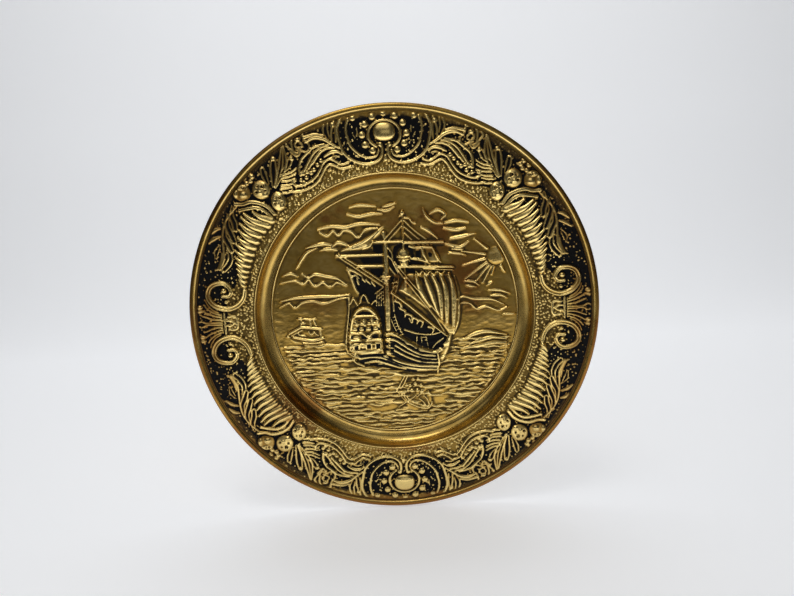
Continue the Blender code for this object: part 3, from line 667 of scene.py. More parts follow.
class FieldDrawing:
    """The ship scene in the sunk field."""

    WAVE_ROWS = 22
    TOP_WAVE = -0.140
    WAVE_PITCH = 0.0212
    SEA_RADIUS = 0.590
    SHORT_WAVES = 70

    def __init__(self, x: Array, z: Array) -> None:
        """Keep the places.

        Args:
            x: drawn places across.
            z: drawn places up.
        """
        self.relief = Relief(x, z)
        self.black = np.zeros(x.shape)

    def paint(self, corners: Sequence[Point], strength: float = 1.0, edge: float = 0.006) -> None:
        """Rub black paint into an area.

        Args:
            corners: outline of the area.
            strength: how black it is.
            edge: width of the soft edge.
        """
        outline = np.vstack([corners, corners[:1]])
        places = self.relief.near(outline, edge * 2)
        x, z = self.relief.x[places], self.relief.z[places]
        gap, _ = nearest_on_route(x, z, outline)
        signed = np.where(inside_outline(x, z, outline), gap, -gap)
        self.black[places] = np.maximum(self.black[places], strength * ease(signed / edge + 0.5))

    def clouds(self) -> None:
        """Wavy ridges, many with a scalloped ridge under them."""
        relief = self.relief
        upper = [
            path(-193, 535, -145, 544, -69, 535), path(-34, 530, -3, 537, 28, 546),
            path(-207, 504, -152, 490, -96, 499, -39, 499), path(-58, 519, -14, 513, 22, 530),
            path(-351, 438, -289, 449, -220, 442, -145, 455, -52, 446),
            path(-413, 350, -365, 361, -328, 366, -289, 358),
            path(-365, 347, -411, 328, -441, 295, -466, 255),
            path(-289, 350, -259, 369, -220, 358, -190, 336),
            path(-344, 336, -303, 342, -265, 334), path(-537, 220, -499, 229, -466, 215),
            path(-444, 226, -413, 207, -379, 220, -324, 207, -269, 193, -231, 165),
            path(-558, 94, -482, 107, -372, 109, -289, 107, -218, 113),
            path(158, 513, 176, 475, 214, 444, 251, 438),
            path(190, 488, 231, 504, 265, 482, 245, 460),
            path(262, 441, 317, 449, 375, 440), path(254, 416, 317, 405, 361, 413),
            path(284, 364, 344, 372, 406, 383), path(262, 339, 331, 322, 375, 347),
            path(276, 295, 331, 289, 355, 281), path(292, 314, 344, 309),
            path(350, 152, 393, 149, 416, 132), path(358, 130, 402, 123),
            path(460, 128, 485, 145), path(468, 102, 524, 99, 568, 83),
            path(475, 74, 524, 76, 554, 61),
            path(310, 66, 344, 76, 400, 62, 482, 56, 540, 28)]
        scalloped = [
            path(-344, 424, -310, 405, -278, 427, -254, 406, -227, 427, -190, 419, -158, 391, -124, 424, -62, 431),
            path(-551, 185, -482, 193, -441, 176, -413, 198, -383, 163, -344, 179, -310, 156, -276, 174, -231, 157),
            path(-562, 66, -517, 83, -489, 59, -455, 81, -400, 88, -344, 74, -276, 93, -220, 99),
            path(317, 45, 372, 41, 406, 12, 455, 22, 513, -1, 554, 14), path(537, -21, 595, -22)]
        relief.strokes(upper, (0.0045, 0.0095, 0.0090, 0.0045), 1.35)
        relief.strokes(scalloped, (0.0045, 0.0080, 0.0080, 0.0045), 1.25)

    def sun(self) -> None:
        """A low round sun with long tapering rays on its left side."""
        relief = self.relief
        centre = np.array([0.505, 0.272])
        relief.boss(tuple(centre), (0.046, 0.046), 1.2)
        tips = path(338, 300, 344, 231, 355, 165, 400, 145, 438, 141, 482, 179, 402, 358, 545, 190)
        for tip in tips:
            toward = (np.array(tip) - centre) / np.hypot(*(np.array(tip) - centre))
            relief.stroke([tuple(centre + 0.056 * toward), tip], (0.0095, 0.0045), 1.3)

    def sea(self) -> None:
        """Rows of short-lapping waves under the horizon, short strokes between them, and the swell at the bow."""
        relief = self.relief
        for row in range(self.WAVE_ROWS):
            level = self.TOP_WAVE - self.WAVE_PITCH * row
            half = math.sqrt(max(self.SEA_RADIUS ** 2 - level ** 2, 0))
            phase = 6.28 * float(lattice_random(np.array(row), np.array(3), 5))
            start = -half + 0.012
            while start < half - 0.02:
                cell = np.array(int((start + 1) * 60))
                chance = [float(lattice_random(np.array(row), cell, seed)) for seed in (5, 6, 7)]
                end = min(start + 0.07 + 0.24 * chance[0], half)
                ends = np.arange(start, end, 0.011)
                wander = value_noise(ends, ends * 0 + 7 * row, 0.055, 9, 2) - 0.5
                heave = level + 0.0130 * wander + 0.0022 * np.sin(ends * (70 + 40 * chance[1]) + phase)
                beside_ship = -0.275 < ends.mean() < 0.285 and level > -0.262
                under_boat = -0.035 < ends.mean() < 0.175 and -0.490 < level < -0.315
                if len(ends) > 3 and not beside_ship and not under_boat:
                    width = 0.0066 + 0.0026 * chance[2]
                    relief.stroke(np.column_stack([ends, heave]), (0.003, width, 0.9 * width, width, 0.003),
                                  1.0 + 0.6 * chance[1])
                start = end + 0.004 + 0.012 * chance[2]
        for index in range(self.SHORT_WAVES):
            chance = [float(lattice_random(np.array(index), np.array(seed), 71)) for seed in range(4)]
            x, z = -0.54 + 1.08 * chance[0], -0.15 - 0.42 * chance[1]
            beside_ship = -0.26 < x < 0.28 and z > -0.30
            at_boat = -0.04 < x < 0.18 and z > -0.50
            if math.hypot(x, z) < 0.56 and not beside_ship and not at_boat:
                run = 0.018 + 0.022 * chance[2]
                relief.stroke([(x - run, z), (x, z + 0.006 * (chance[3] - 0.5)), (x + run, z - 0.002)],
                              (0.002, 0.0050, 0.002), 1.2)
        relief.strokes([path(331, -141, 386, -117, 455, -105, 551, -124),
                        path(365, -165, 427, -146, 482, -135, 551, -146),
                        path(331, -186, 400, -176, 482, -165, 548, -168)],
                       (0.005, 0.013, 0.011, 0.005), 1.6)
        relief.strokes([path(-60, -290, -10, -296, 40, -312), path(90, -312, 150, -318),
                        path(-200, -262, -140, -270, -90, -282)], (0.004, 0.010, 0.004), 1.5)

    def far_ship(self) -> None:
        """The small ship on the horizon at the left."""
        relief = self.relief
        relief.panel(path(-540, -90, -500, -100, -361, -104, -361, -136, -455, -138, -505, -122), 0.5, 0.010)
        relief.strokes([path(-507, -90, -473, -98, -414, -108, -361, -100),
                        path(-470, -40, -425, -45, -368, -54),
                        path(-528, -70, -500, -56, -474, -43)], 0.0082, 1.4)
        relief.strokes([path(-463, -120, -410, -124, -361, -119),
                        path(-455, -134, -400, -137, -361, -132),
                        path(-449, 1, -420, -3, -394, 0), path(-516, -80, -490, -66, -464, -56),
                        path(-486, -64, -474, -80, -450, -84),
                        path(-430, -66, -420, -80, -404, -68, -388, -84)], 0.0050, 1.1)
        relief.strokes([path(-464, -4, -468, -36), path(-420, -6, -418, -40),
                        path(-402, -6, -392, -34), path(-374, -60, -370, -96)], 0.0042, 0.9)
        relief.boss((-0.468, 0.003), (0.017, 0.008), 1.5)
        relief.boss((-0.456, -0.020), (0.013, 0.007), 1.2)
        relief.boss((-0.536, -0.086), (0.010, 0.008), 1.2)

    def boat(self) -> None:
        """The rowing boat in the foreground, tilted on the waves, with its crew."""
        relief = self.relief
        relief.panel(path(-10, -396, 30, -376, 110, -366, 165, -400, 172, -460, 150, -488, 120, -486, 43, -450),
                     0.6, 0.012, 0.3)
        relief.strokes([path(40, -448, 81, -471, 122, -486, 150, -485, 168, -460),
                        path(36, -309, 12, -350, -14, -394),
                        path(46, -318, 30, -350, 12, -376)], 0.0066, 1.6)
        relief.strokes([path(-2, -474, 40, -448, 86, -416), path(-2, -400, 14, -422, 34, -444),
                        path(8, -396, 26, -420, 42, -442), path(18, -394, 36, -414, 50, -434),
                        path(70, -452, 100, -462, 126, -470), path(104, -436, 122, -450, 136, -474),
                        path(126, -420, 142, -436, 152, -466), path(92, -424, 120, -400, 136, -380),
                        path(150, -400, 166, -420, 180, -424)], 0.0042, 1.2)
        for place in path(77, -334, 101, -334, 115, -367, 60, -366, 42, -362, 86, -356, 68, -392, 96, -392,
                          48, -388, 118, -396):
            relief.boss(place, (0.0115, 0.0105), 1.6)

    def hull(self) -> None:
        """The hull: a dark side crossed by light planks, with its rudder and stem."""
        relief = self.relief
        side = path(-242, -170, -215, -205, -190, -236, -110, -252, -30, -268, 60, -292, 120, -302, 196, -302,
                    236, -250, 270, -180, 284, -100, 262, -98, 225, -160, 180, -186, 110, -166, 45, -122, -10, -86,
                    -60, -80, -60, -190)
        relief.panel(side, 1.5, 0.014, 0.5)
        planks = [
            path(-56, -96, -10, -92, 45, -128, 113, -172, 189, -196, 230, -184),
            path(-52, -120, 0, -128, 62, -172, 121, -204, 192, -214),
            path(-4, -152, 62, -194, 130, -222, 196, -232),
            path(-10, -176, 50, -212, 120, -240, 200, -250),
            path(-200, -196, -150, -188, -95, -190, -40, -212, 30, -244, 110, -262, 198, -268),
            path(-186, -212, -130, -206, -75, -212, -20, -236, 50, -266, 130, -280, 196, -286),
            path(-160, -238, -105, -228, -56, -240, 3, -266, 70, -292)]
        relief.strokes(planks, (0.0068, 0.0072, 0.0066), 1.25, Section.FLAT)
        relief.strokes([path(202, -300, 210, -250, 204, -200),
                        path(-250, -150, -242, -176, -216, -200, -184, -206),
                        path(-262, -224, -230, -222, -196, -204),
                        path(-222, -214, -200, -236, -166, -252)], 0.0070, 1.7)
        self.paint(path(-210, -192, -90, -186, -30, -206, 40, -246, 110, -266, 198, -272, 196, -292, 80, -296,
                        -20, -274, -90, -256, -180, -240))
        self.paint(path(-30, -100, 30, -122, 110, -170, 200, -200, 204, -262, 110, -256, 30, -228, -30, -196))
        for column, x in enumerate((-0.046, -0.022)):
            for level in (-0.116, -0.144, -0.172):
                drop = 0.008 * column
                relief.strokes([[(x - 0.012, level - drop - 0.010), (x + 0.012, level - drop - 0.014)]], 0.0035, 1.2)
                self.paint([(x - 0.008, level - drop + 0.009), (x + 0.008, level - drop + 0.007),
                            (x + 0.008, level - drop - 0.007), (x - 0.008, level - drop - 0.005)], 1.0, 0.004)

    def castle(self) -> None:
        """The tall stern: an arched top, ledges, dark windows between posts, and side rails."""
        relief = self.relief
        relief.panel(path(-244, -172, -236, -90, -222, -10, -212, 18, -192, 44, -155, 58, -112, 50, -86, 24,
                          -74, -20, -62, -90, -56, -196, -150, -198, -225, -190), 2.1, 0.012, 0.4)
        relief.stroke(path(-208, 0, -188, 30, -155, 45, -124, 38, -98, 14, -78, -16),
                      (0.009, 0.0115, 0.0115, 0.0115, 0.008), 1.3)
        self.paint(path(-182, 14, -160, 28, -128, 24, -100, 8, -140, 10), edge=0.004)
        relief.strokes([path(-204, -4, -190, 3, -140, 4, -93, 2)], 0.0068, 1.5)
        relief.strokes([
            path(-226, -82, -206, -81, -184, -84),
            path(-180, -80, -160, -84, -140, -100, -118, -86, -94, -80, -72, -80),
            path(-222, -120, -180, -118), path(-146, -121, -110, -118, -68, -122),
            path(-238, -164, -190, -176, -140, -178, -70, -170)], 0.0072, 1.4)
        relief.stroke(path(-240, -184, -149, -194, -64, -190), 0.0045, 0.9)
        relief.strokes([path(-196, -20, -190, -44), path(-154, -16, -150, -44),
                        path(-114, -14, -110, -42), path(-84, -20, -78, -48)], 0.0060, 1.0)
        for x in (-0.192, -0.164, -0.128, -0.099, -0.078):
            relief.boss((x, -0.036), (0.0135, 0.0085), 1.4)
        for x in (-0.200, -0.168, -0.132, -0.098):
            relief.boss((x, -0.062), (0.0120, 0.0100), 0.9)
            self.paint([(x + 0.010, -0.050), (x + 0.022, -0.048), (x + 0.022, -0.072), (x + 0.010, -0.072)],
                       0.9, 0.004)
        for x in (-0.176, -0.134, -0.098):
            self.paint([(x - 0.012, -0.014), (x, -0.010), (x + 0.012, -0.014), (x, -0.022)], 1.0, 0.004)
        relief.boss((-0.130, -0.106), (0.0120, 0.0130), 1.2)
        for corners in (path(-172, -94, -146, -100, -146, -114, -172, -112),
                        path(-116, -96, -92, -92, -90, -110, -112, -112),
                        path(-222, -92, -210, -92, -214, -112, -226, -112),
                        path(-78, -90, -66, -90, -64, -112, -78, -112)):
            self.paint(corners, 0.95, 0.004)
        relief.boss((-0.196, -0.103), (0.0150, 0.0100), 0.8)
        for x in (-0.198, -0.136, -0.090):
            self.paint([(x + side, z) for side, z in ((-0.010, -0.162), (-0.010, -0.138), (0.010, -0.138),
                                                      (0.010, -0.162))], edge=0.004)
            relief.strokes([[(x - 0.013, -0.134), (x + 0.013, -0.134)]]
                           + [[(x + side, -0.136), (x + side, -0.162)] for side in (-0.013, 0.013)], 0.0042, 1.2)
        relief.boss((-0.228, -0.146), (0.0100, 0.0160), 1.3)
        relief.boss((-0.166, -0.150), (0.0090, 0.0120), 1.0)
        relief.stroke(path(-221, 108, -227, 24, -240, -60, -250, -136, -244, -174), 0.0055, 1.7)
        relief.stroke(path(-208, 10, -227, -77, -234, -145), 0.0045, 1.1)
        relief.strokes([path(-170, 66, -159, 100, -142, 104, -125, 66),
                        path(-216, 66, -200, 92, -180, 56),
                        path(-112, 60, -96, 76, -86, 70)], 0.0058, 1.7)
        self.paint(path(-235, 100, -222, 94, -216, 20, -230, -60, -238, -58), 0.8)

    def deck(self) -> None:
        """The dark waist of the ship: the sail's ragged fringe, a ladder, a rail and a grating."""
        relief = self.relief
        self.paint(path(-18, 60, 3, 68, 50, 40, 113, -20, 180, -70, 255, -113, 250, -158, 223, -184, 180, -182,
                        113, -158, 62, -118, 28, -100, -8, -84, -26, -40))
        relief.strokes([path(-26, -3, -5, -60, 18, -112),
                        path(-1, 2, 14, -55, 34, -98)], 0.0038, 1.3)
        for step in range(7):
            x, z = -0.020 + 0.0065 * step, -0.014 - 0.0150 * step
            relief.stroke([(x, z), (x + 0.020, z + 0.006)], 0.0032, 1.2)
        relief.strokes([path(45, -77, 113, -100, 180, -107, 226, -96)], 0.0048, 1.4)
        relief.strokes([path(104, -112, 100, -168), path(150, -114, 160, -178),
                        path(126, -112, 130, -176)], 0.0038, 1.2)
        for step in range(5):
            z = -0.116 - 0.014 * step
            relief.stroke([(0.102, z), (0.152 + 0.002 * step, z - 0.004)], 0.0032, 1.2)
        relief.stroke(path(176, -182, 196, -156, 236, -128), 0.0050, 1.4)
        fringe = [path(6, 70, 30, 56, 34, 28, 20, 40), path(30, 30, 52, 16, 50, -12),
                  path(58, 4, 84, -10, 82, -42, 70, -18), path(92, -18, 112, -30, 108, -50),
                  path(112, -30, 136, -40, 128, -68), path(164, -68, 188, -78, 178, -106)]
        relief.strokes(fringe, (0.0085, 0.0080, 0.0040), 1.7)

    def rigging(self) -> None:
        """Masts, yards, tops, stays and the long diagonal spars."""
        relief = self.relief
        relief.stroke(path(58, 490, 58, 404, 56, 324), (0.0045, 0.0060, 0.0065), 1.6)
        relief.stroke(path(58, 236, 60, 200, 58, 130), 0.0060, 1.0)
        relief.stroke(path(-30, 345, -32, 142, -36, -70), (0.0120, 0.0140, 0.0145), 1.9)
        relief.strokes([path(-6, 150, -4, 20), path(6, 140, 10, 80)], 0.0050, 1.0)
        relief.strokes([path(-88, 363, 52, 360), path(66, 354, 252, 348),
                        path(-268, 304, -48, 300), path(-166, 250, -48, 246),
                        path(30, 239, 294, 226)], (0.0098, 0.0088, 0.0084), 2.3)
        relief.stroke(path(150, 222, 292, 211), 0.0045, 1.6)
        relief.strokes([path(-271, 309, -157, 225, -50, 146),
                        path(-258, 314, -140, 232, -40, 160)], 0.0052, 2.2)
        relief.strokes([path(-12, 113, 62, 54, 155, -31, 250, -114)], (0.0088, 0.0095, 0.0070), 2.4)
        relief.strokes([path(-21, 298, 3, 265, 45, 193, 113, 100, 180, 7, 246, -100),
                        path(12, 262, 79, 170, 147, 86, 236, -34)], 0.0046, 1.7)
        relief.strokes([path(52, 463, -35, 372), path(53, 436, -12, 370),
                        path(64, 463, 113, 412, 168, 368), path(64, 432, 134, 368),
                        path(66, 402, 98, 368)], 0.0044, 1.4)
        relief.stroke(path(147, 425, 189, 402, 223, 368), (0.006, 0.012, 0.006), 1.2)
        relief.boss((0.058, 0.498), (0.012, 0.014), 1.9)
        relief.strokes([path(68, 474, 90, 470, 106, 450, 118, 446), path(60, 488, 46, 484)], 0.0060, 1.3)
        relief.stroke(path(-36, 404, -32, 378), (0.012, 0.008), 1.5)
        relief.strokes([path(-22, 340, -1, 306, 3, 262, 24, 212), path(-14, 236, 10, 202)], 0.0050, 1.5)
        self.top((0.056, 0.284), 0.032, 0.038)
        self.top((-0.035, 0.192), 0.024, 0.030)

    def top(self, centre: Point, across: float, up: float) -> None:
        """A fighting top on a mast: a basket that narrows below its banded rim.

        Args:
            centre: middle of the basket.
            across: half width of its rim.
            up: half height.
        """
        relief = self.relief
        x, z = centre
        relief.boss((x, z + 0.15 * up), (0.92 * across, 0.95 * up), 2.2)
        relief.boss((x, z - 0.62 * up), (0.72 * across, 0.58 * up), 2.6, squareness=2.8)
        relief.strokes([[(x - across, z + 0.10 * up), (x, z - 0.06 * up), (x + across, z + 0.06 * up)],
                        [(x - 0.75 * across, z - 0.34 * up), (x, z - 0.42 * up), (x + 0.75 * across, z - 0.34 * up)],
                        [(x - 0.45 * across, z - 1.05 * up), (x + 0.45 * across, z - 1.05 * up)]], 0.0056, 3.3)
        for aside in (-0.35, 0.35):
            self.paint([(x + aside * across - 0.005, z - 0.72 * up), (x + aside * across - 0.005, z - 0.50 * up),
                        (x + aside * across + 0.005, z - 0.50 * up), (x + aside * across + 0.005, z - 0.72 * up)],
                       1.0, 0.003)

    def sails(self) -> None:
        """The set mainsail with its folds, the topsail, the rolled sail and the dark lateen at the stern."""
        relief = self.relief
        relief.panel(path(60, 205, 180, 206, 262, 200, 300, 176, 312, 120, 326, 40, 318, -50, 288, -118, 258, -110,
                          225, -60, 150, 20, 80, 80, 20, 120, 40, 170), 1.2, 0.012, 0.7)
        folds = [
            path(110, 196, 136, 110, 176, 36), path(152, 192, 182, 110, 214, 0),
            path(192, 190, 224, 110, 232, -20), path(232, 190, 255, 110, 256, -50),
            path(272, 196, 293, 110, 290, -70)]
        relief.strokes(folds, (0.010, 0.0195, 0.0200, 0.011), 1.9, Section.SOFT)
        relief.stroke(path(300, 180, 316, 110, 320, 30, 312, -50, 288, -112),
                      (0.004, 0.0095, 0.0090, 0.004), 1.3, Section.SOFT)
        for x, z in ((0.128, 0.205), (0.164, 0.203), (0.200, 0.201), (0.236, 0.200)):
            relief.stroke([(x - 0.016, z + 0.006), (x, z - 0.008), (x + 0.016, z + 0.006)],
                          (0.004, 0.0085, 0.004), 1.9)
        relief.panel(path(105, 340, 200, 338, 218, 296, 240, 246, 190, 246, 120, 262), 0.9, 0.010, 0.5)
        relief.strokes([path(84, 336, 110, 328, 150, 330, 196, 326),
                        path(200, 322, 216, 290, 234, 252), path(146, 324, 156, 290, 170, 262),
                        path(90, 276, 130, 268, 184, 246)],
                       (0.0070, 0.0095, 0.0060), 1.5)
        relief.panel(path(-268, 318, -240, 344, -200, 366, -150, 384, -100, 410, -60, 436, -20, 446, -44, 400,
                          -70, 372, -90, 330, -160, 316), 0.9, 0.020, 1.2)
        relief.strokes([path(-240, 332, -190, 348, -130, 372, -60, 420),
                        path(-200, 330, -160, 340, -120, 352),
                        path(-140, 330, -110, 340, -90, 360)], (0.004, 0.012, 0.009, 0.004), 0.8,
                       Section.SOFT)
        relief.strokes([path(-221, 242, -204, 201, -187, 142, -173, 117),
                        path(-221, 240, -180, 222, -150, 198),
                        path(-200, 201, -180, 206, -165, 190), path(-150, 190, -138, 172),
                        path(-132, 182, -112, 160), path(-106, 172, -90, 148),
                        path(-176, 196, -170, 160)], (0.0065, 0.0075, 0.0040), 1.4)
        self.paint(path(-212, 222, -160, 204, -98, 166, -50, 134, -50, -40, -62, -80, -74, 0, -90, 40, -120, 64,
                        -160, 80, -182, 130))
        self.paint(path(-160, 292, -50, 292, -50, 256, -140, 258), 0.95)
        self.paint(path(-110, 236, -48, 236, -46, 160, -110, 206), 0.75)
        self.paint(path(-88, 350, -46, 352, -46, 296, -70, 300, -92, 322))
        self.paint(path(-18, 345, -1, 311, 3, 260, 24, 210, 12, 198, -12, 235, -18, 290))
        self.paint(path(2, 300, 10, 337, 40, 352, 56, 353, 56, 334, 36, 327, 23, 308, 19, 286, 28, 262, 36, 240,
                        28, 236, 8, 262))
        self.paint(path(56, 353, 74, 351, 102, 332, 108, 290, 102, 252, 78, 234, 74, 244, 84, 266, 94, 286, 88, 310,
                        75, 327, 56, 334))
        self.paint(path(116, 314, 138, 312, 142, 276, 116, 278))
        self.paint(path(174, 300, 186, 303, 196, 292, 192, 278, 178, 280))
        self.paint(path(96, 268, 122, 262, 172, 248, 110, 244, 90, 250))
        self.paint(path(60, 232, 106, 226, 110, 204, 70, 208))
        self.paint(path(-10, 196, 8, 190, 0, 150, -12, 150), 0.8)
        self.paint(path(128, 186, 146, 182, 158, 150, 146, 150), 0.7)
        self.paint(path(206, 182, 222, 178, 228, 150, 216, 150), 0.7)

    def rope_net(self) -> None:
        """The knotted net between the second mast and the lateen sail, and the shrouds."""
        relief = self.relief
        for index in range(5):
            relief.stroke([(-0.092 + 0.010 * index, 0.112 - 0.012 * index), (-0.050, 0.140 - 0.016 * index)],
                          0.0028, 1.8)
        for index in range(4):
            relief.stroke([(-0.082 + 0.010 * index, 0.120), (-0.088 + 0.012 * index, 0.050)], 0.0028, 1.8)
        relief.strokes([path(6, 180, -4, 125), path(26, 176, 12, 118),
                        path(-8, 160, 26, 166), path(-6, 142, 22, 148)], 0.0032, 2.6)

    def draw(self) -> Relief:
        """Draw the whole scene and its lightly hammered ground.

        Returns:
            The relief.
        """
        for part in (self.clouds, self.sun, self.sea, self.far_ship, self.boat, self.hull, self.castle, self.sails,
                     self.deck, self.rope_net, self.rigging):
            part()
        relief = self.relief
        grain = value_noise(relief.x, relief.z * 1.8, 0.030, 21, 4)
        ripple = value_noise(relief.x * 0.45, relief.z * 2.2, 0.030, 61, 2)
        water = ease((-0.125 - relief.z) / 0.02) * (1 - ease(relief.top / 0.8))
        relief.lift += 0.30 * grain + 0.75 * water * ease((ripple - 0.45) / 0.20)
        return relief

    def near_ship(self) -> Array:
        """Where the ship stands: there the paint is caught in every hollow.

        Returns:
            1 inside the ship's outline, and 0 outside it.
        """
        outline = path(-255, -200, -180, -260, 30, -300, 205, -310, 240, -220, 300, -110, 325, 50, 300, 235,
                       250, 355, 60, 370, -100, 368, -275, 310, -190, 110, -245, -60)
        corners = np.vstack([outline, outline[:1]])
        gap, _ = nearest_on_route(self.relief.x, self.relief.z, corners)
        return np.where(inside_outline(self.relief.x, self.relief.z, corners), ease(gap / 0.012), 0)


def grid_normals(points: Array, wrapped: bool = False) -> Array:
    """Directions square to a grid of places, from the neighbours on both sides of each.

    Args:
        points: rows by columns by three.
        wrapped: True where the last column meets the first.

    Returns:
        Unit vectors, on the side from which the faces of the grid turn anticlockwise.
    """
    if wrapped:
        points = np.concatenate([points[:, -1:], points, points[:, :1]], 1)
    normals = np.cross(np.gradient(points, axis=1), np.gradient(points, axis=0))
    if wrapped:
        normals = normals[:, 1:-1]
    return normals / np.linalg.norm(normals, axis=2, keepdims=True)


class Meshes:
    """Builds closed shells from a front grid of points and a coarser back grid."""

    # Cells of the front for each cell of the back, on a side
    RATIO = 3

    @staticmethod
    def from_faces(name: str, vertices: Array, quads: Array, sides: Sequence[Sequence[int]],
                   normals: Array) -> bpy.types.Object:
        """Make an object from four-sided faces and the many-sided faces of its edges.

        Args:
            name: name of the object and its mesh.
            vertices: one row for each vertex, metres.
            quads: one row of four vertex numbers for each face.
            sides: vertex numbers of each edge face.
            normals: the direction that each vertex is shaded by, so that no seam shows where two shells meet.

        Returns:
            The new object, at the origin, shaded smooth.
        """
        mesh = bpy.data.meshes.new(name)
        mesh.vertices.add(len(vertices))
        mesh.vertices.foreach_set("co", vertices.astype(np.float32).ravel())
        flat_sides = np.array([number for side in sides for number in side], np.int32)
        counts = np.concatenate([np.full(len(quads), 4), [len(side) for side in sides]]).astype(np.int32)
        starts = np.concatenate([[0], np.cumsum(counts)[:-1]]).astype(np.int32)
        mesh.loops.add(int(counts.sum()))
        mesh.loops.foreach_set("vertex_index", np.concatenate([quads.ravel(), flat_sides]).astype(np.int32))
        mesh.polygons.add(len(counts))
        mesh.polygons.foreach_set("loop_start", starts)
        mesh.update(calc_edges=True)
        mesh.validate()
        mesh.shade_smooth()
        mesh.normals_split_custom_set_from_vertices(normals.reshape(-1, 3).tolist())
        item = bpy.data.objects.new(name, mesh)
        bpy.context.scene.collection.objects.link(item)
        return item

    @classmethod
    def shell(cls, name: str, front: Array, back: Array, front_normals: Array, back_normals: Array,
              wrapped: bool = False) -> bpy.types.Object:
        """Close a front grid and a back grid with walls along their edges.

        Args:
            name: name of the object.
            front: rows by columns by three, its faces turning anticlockwise along the columns as seen from
                the front.
            back: the same area, with every third row and column of the front.
            front_normals: unit vectors square to the front.
            back_normals: unit vectors square to the back.
            wrapped: True where the last column meets the first.

        Returns:
            The closed shell.
        """
        ratio = cls.RATIO
        rows, columns = front.shape[:2]
        front_numbers = np.arange(rows * columns).reshape(rows, columns)
        back_numbers = np.arange(back.shape[0] * back.shape[1]).reshape(back.shape[:2]) + rows * columns
        if wrapped:
            front_numbers = np.hstack([front_numbers, front_numbers[:, :1]])
            back_numbers = np.hstack([back_numbers, back_numbers[:, :1]])
        quads = [cls.grid_faces(front_numbers), cls.grid_faces(back_numbers)[:, ::-1]]
        edges = [(front_numbers[0], back_numbers[0], 1), (front_numbers[-1], back_numbers[-1], -1)]
        if not wrapped:
            edges += [(front_numbers[:, 0], back_numbers[:, 0], -1), (front_numbers[:, -1], back_numbers[:, -1], 1)]
        sides = []
        for fine, coarse, turn in edges:
            for step in range(len(coarse) - 1):
                stretch = list(fine[step * ratio:(step + 1) * ratio + 1])
                side = stretch + [coarse[step + 1], coarse[step]]
                sides.append(side[::-1] if turn > 0 else side)
        vertices = np.vstack([front.reshape(-1, 3), back.reshape(-1, 3)])
        normals = np.vstack([front_normals.reshape(-1, 3), back_normals.reshape(-1, 3)])
        return cls.from_faces(name, vertices, np.vstack(quads), sides, normals)

    @staticmethod
    def grid_faces(numbers: Array) -> Array:
        """The four-sided faces of a grid of vertex numbers."""
        return np.stack([numbers[:-1, :-1], numbers[:-1, 1:], numbers[1:, 1:], numbers[1:, :-1]], -1).reshape(-1, 4)


def soften(grid: Array, times: int = 2, wrapped: bool = False) -> Array:
    """Blur a grid of heights with its neighbours.

    Args:
        grid: the heights.
        times: how often; the blur reaches as many cells as the root of a third of it.
        wrapped: True where the last column meets the first.

    Returns:
        The blurred heights.
    """
    for _ in range(times):
        tall = np.pad(grid, ((1, 1), (0, 0)), mode="edge")
        wide = np.pad(grid, ((0, 0), (1, 1)), mode="wrap" if wrapped else "edge")
        grid = (grid * 2 + tall[:-2] + tall[2:] + wide[:, :-2] + wide[:, 2:]) / 6
    return grid


@dataclass
class Finish:
    """How the brass looks at each place of a grid: four numbers from 0 to 1, read by the material. Besides burnish,
    black paint, tarnish and soiling, they carry painted highlights and painted shade.
    """

    relief: Array
    black: Array
    wear_and_shading: Array
    grime_and_shade: Array

    @classmethod
    def pressed(cls, height: Array, zone: Array, wear_and_shading: Array, wrapped: bool = False) -> "Finish":
        """The finish of a relief: burnished, with a painted highlight, where it stands over its surroundings, and
        darkened with soiling and painted shade where it lies under them.

        Args:
            height: height of the relief in millimetres.
            zone: where black paint was rubbed in, 0 to 1.
            wear_and_shading: how tarnished the brass is.
            wrapped: True where the last column meets the first.

        Returns:
            The finish.
        """
        crest = height - soften(height, 48, wrapped)
        # The crest is the height over its blurred surroundings: crests get burnish and a painted highlight, hollows
        # get soiling and painted shade.
        polish_and_highlight = np.clip(0.30 + crest / 0.9 + 0.08 * height, 0, 1)
        grime_and_shade = ease((-crest - 0.05) / 0.40)
        return cls(polish_and_highlight, zone * (1 - ease((crest - 0.05) / 0.45)), wear_and_shading, grime_and_shade)

    @classmethod
    def turned(cls, points: Array, relief: Array, grime_and_shade: Array) -> "Finish":
        """The finish of plain turned brass, with the tarnish of each place.

        Args:
            points: grid of places, metres.
            relief: how burnished each row is, with any painted highlight.
            grime_and_shade: how dark each row is, from soiling and painted shade.

        Returns:
            The finish.
        """
        flat = np.zeros(points.shape[:2])
        wear_and_shading = Tarnish.at(points[..., 0], points[..., 2])
        return cls(flat + relief[:, None], flat, wear_and_shading, flat + grime_and_shade[:, None])

    def cut(self, places: tuple[Array, Array]) -> "Finish":
        """The part of the finish at some places of its grid, given as numpy's ix_ gives them."""
        return Finish(*(getattr(self, label.name)[places] for label in fields(self)))

    def store(self, item: bpy.types.Object, back: "Finish") -> None:
        """Write the numbers to the vertices of a shell as attributes of the same names.

        Args:
            item: the shell.
            back: the finish of its back, whose vertices come after those of its front.
        """
        for label in fields(self):
            values = np.concatenate([getattr(self, label.name).ravel(), getattr(back, label.name).ravel()])
            layer = item.data.attributes.new(label.name, "FLOAT", "POINT")
            layer.data.foreach_set("value", values.astype(np.float32))


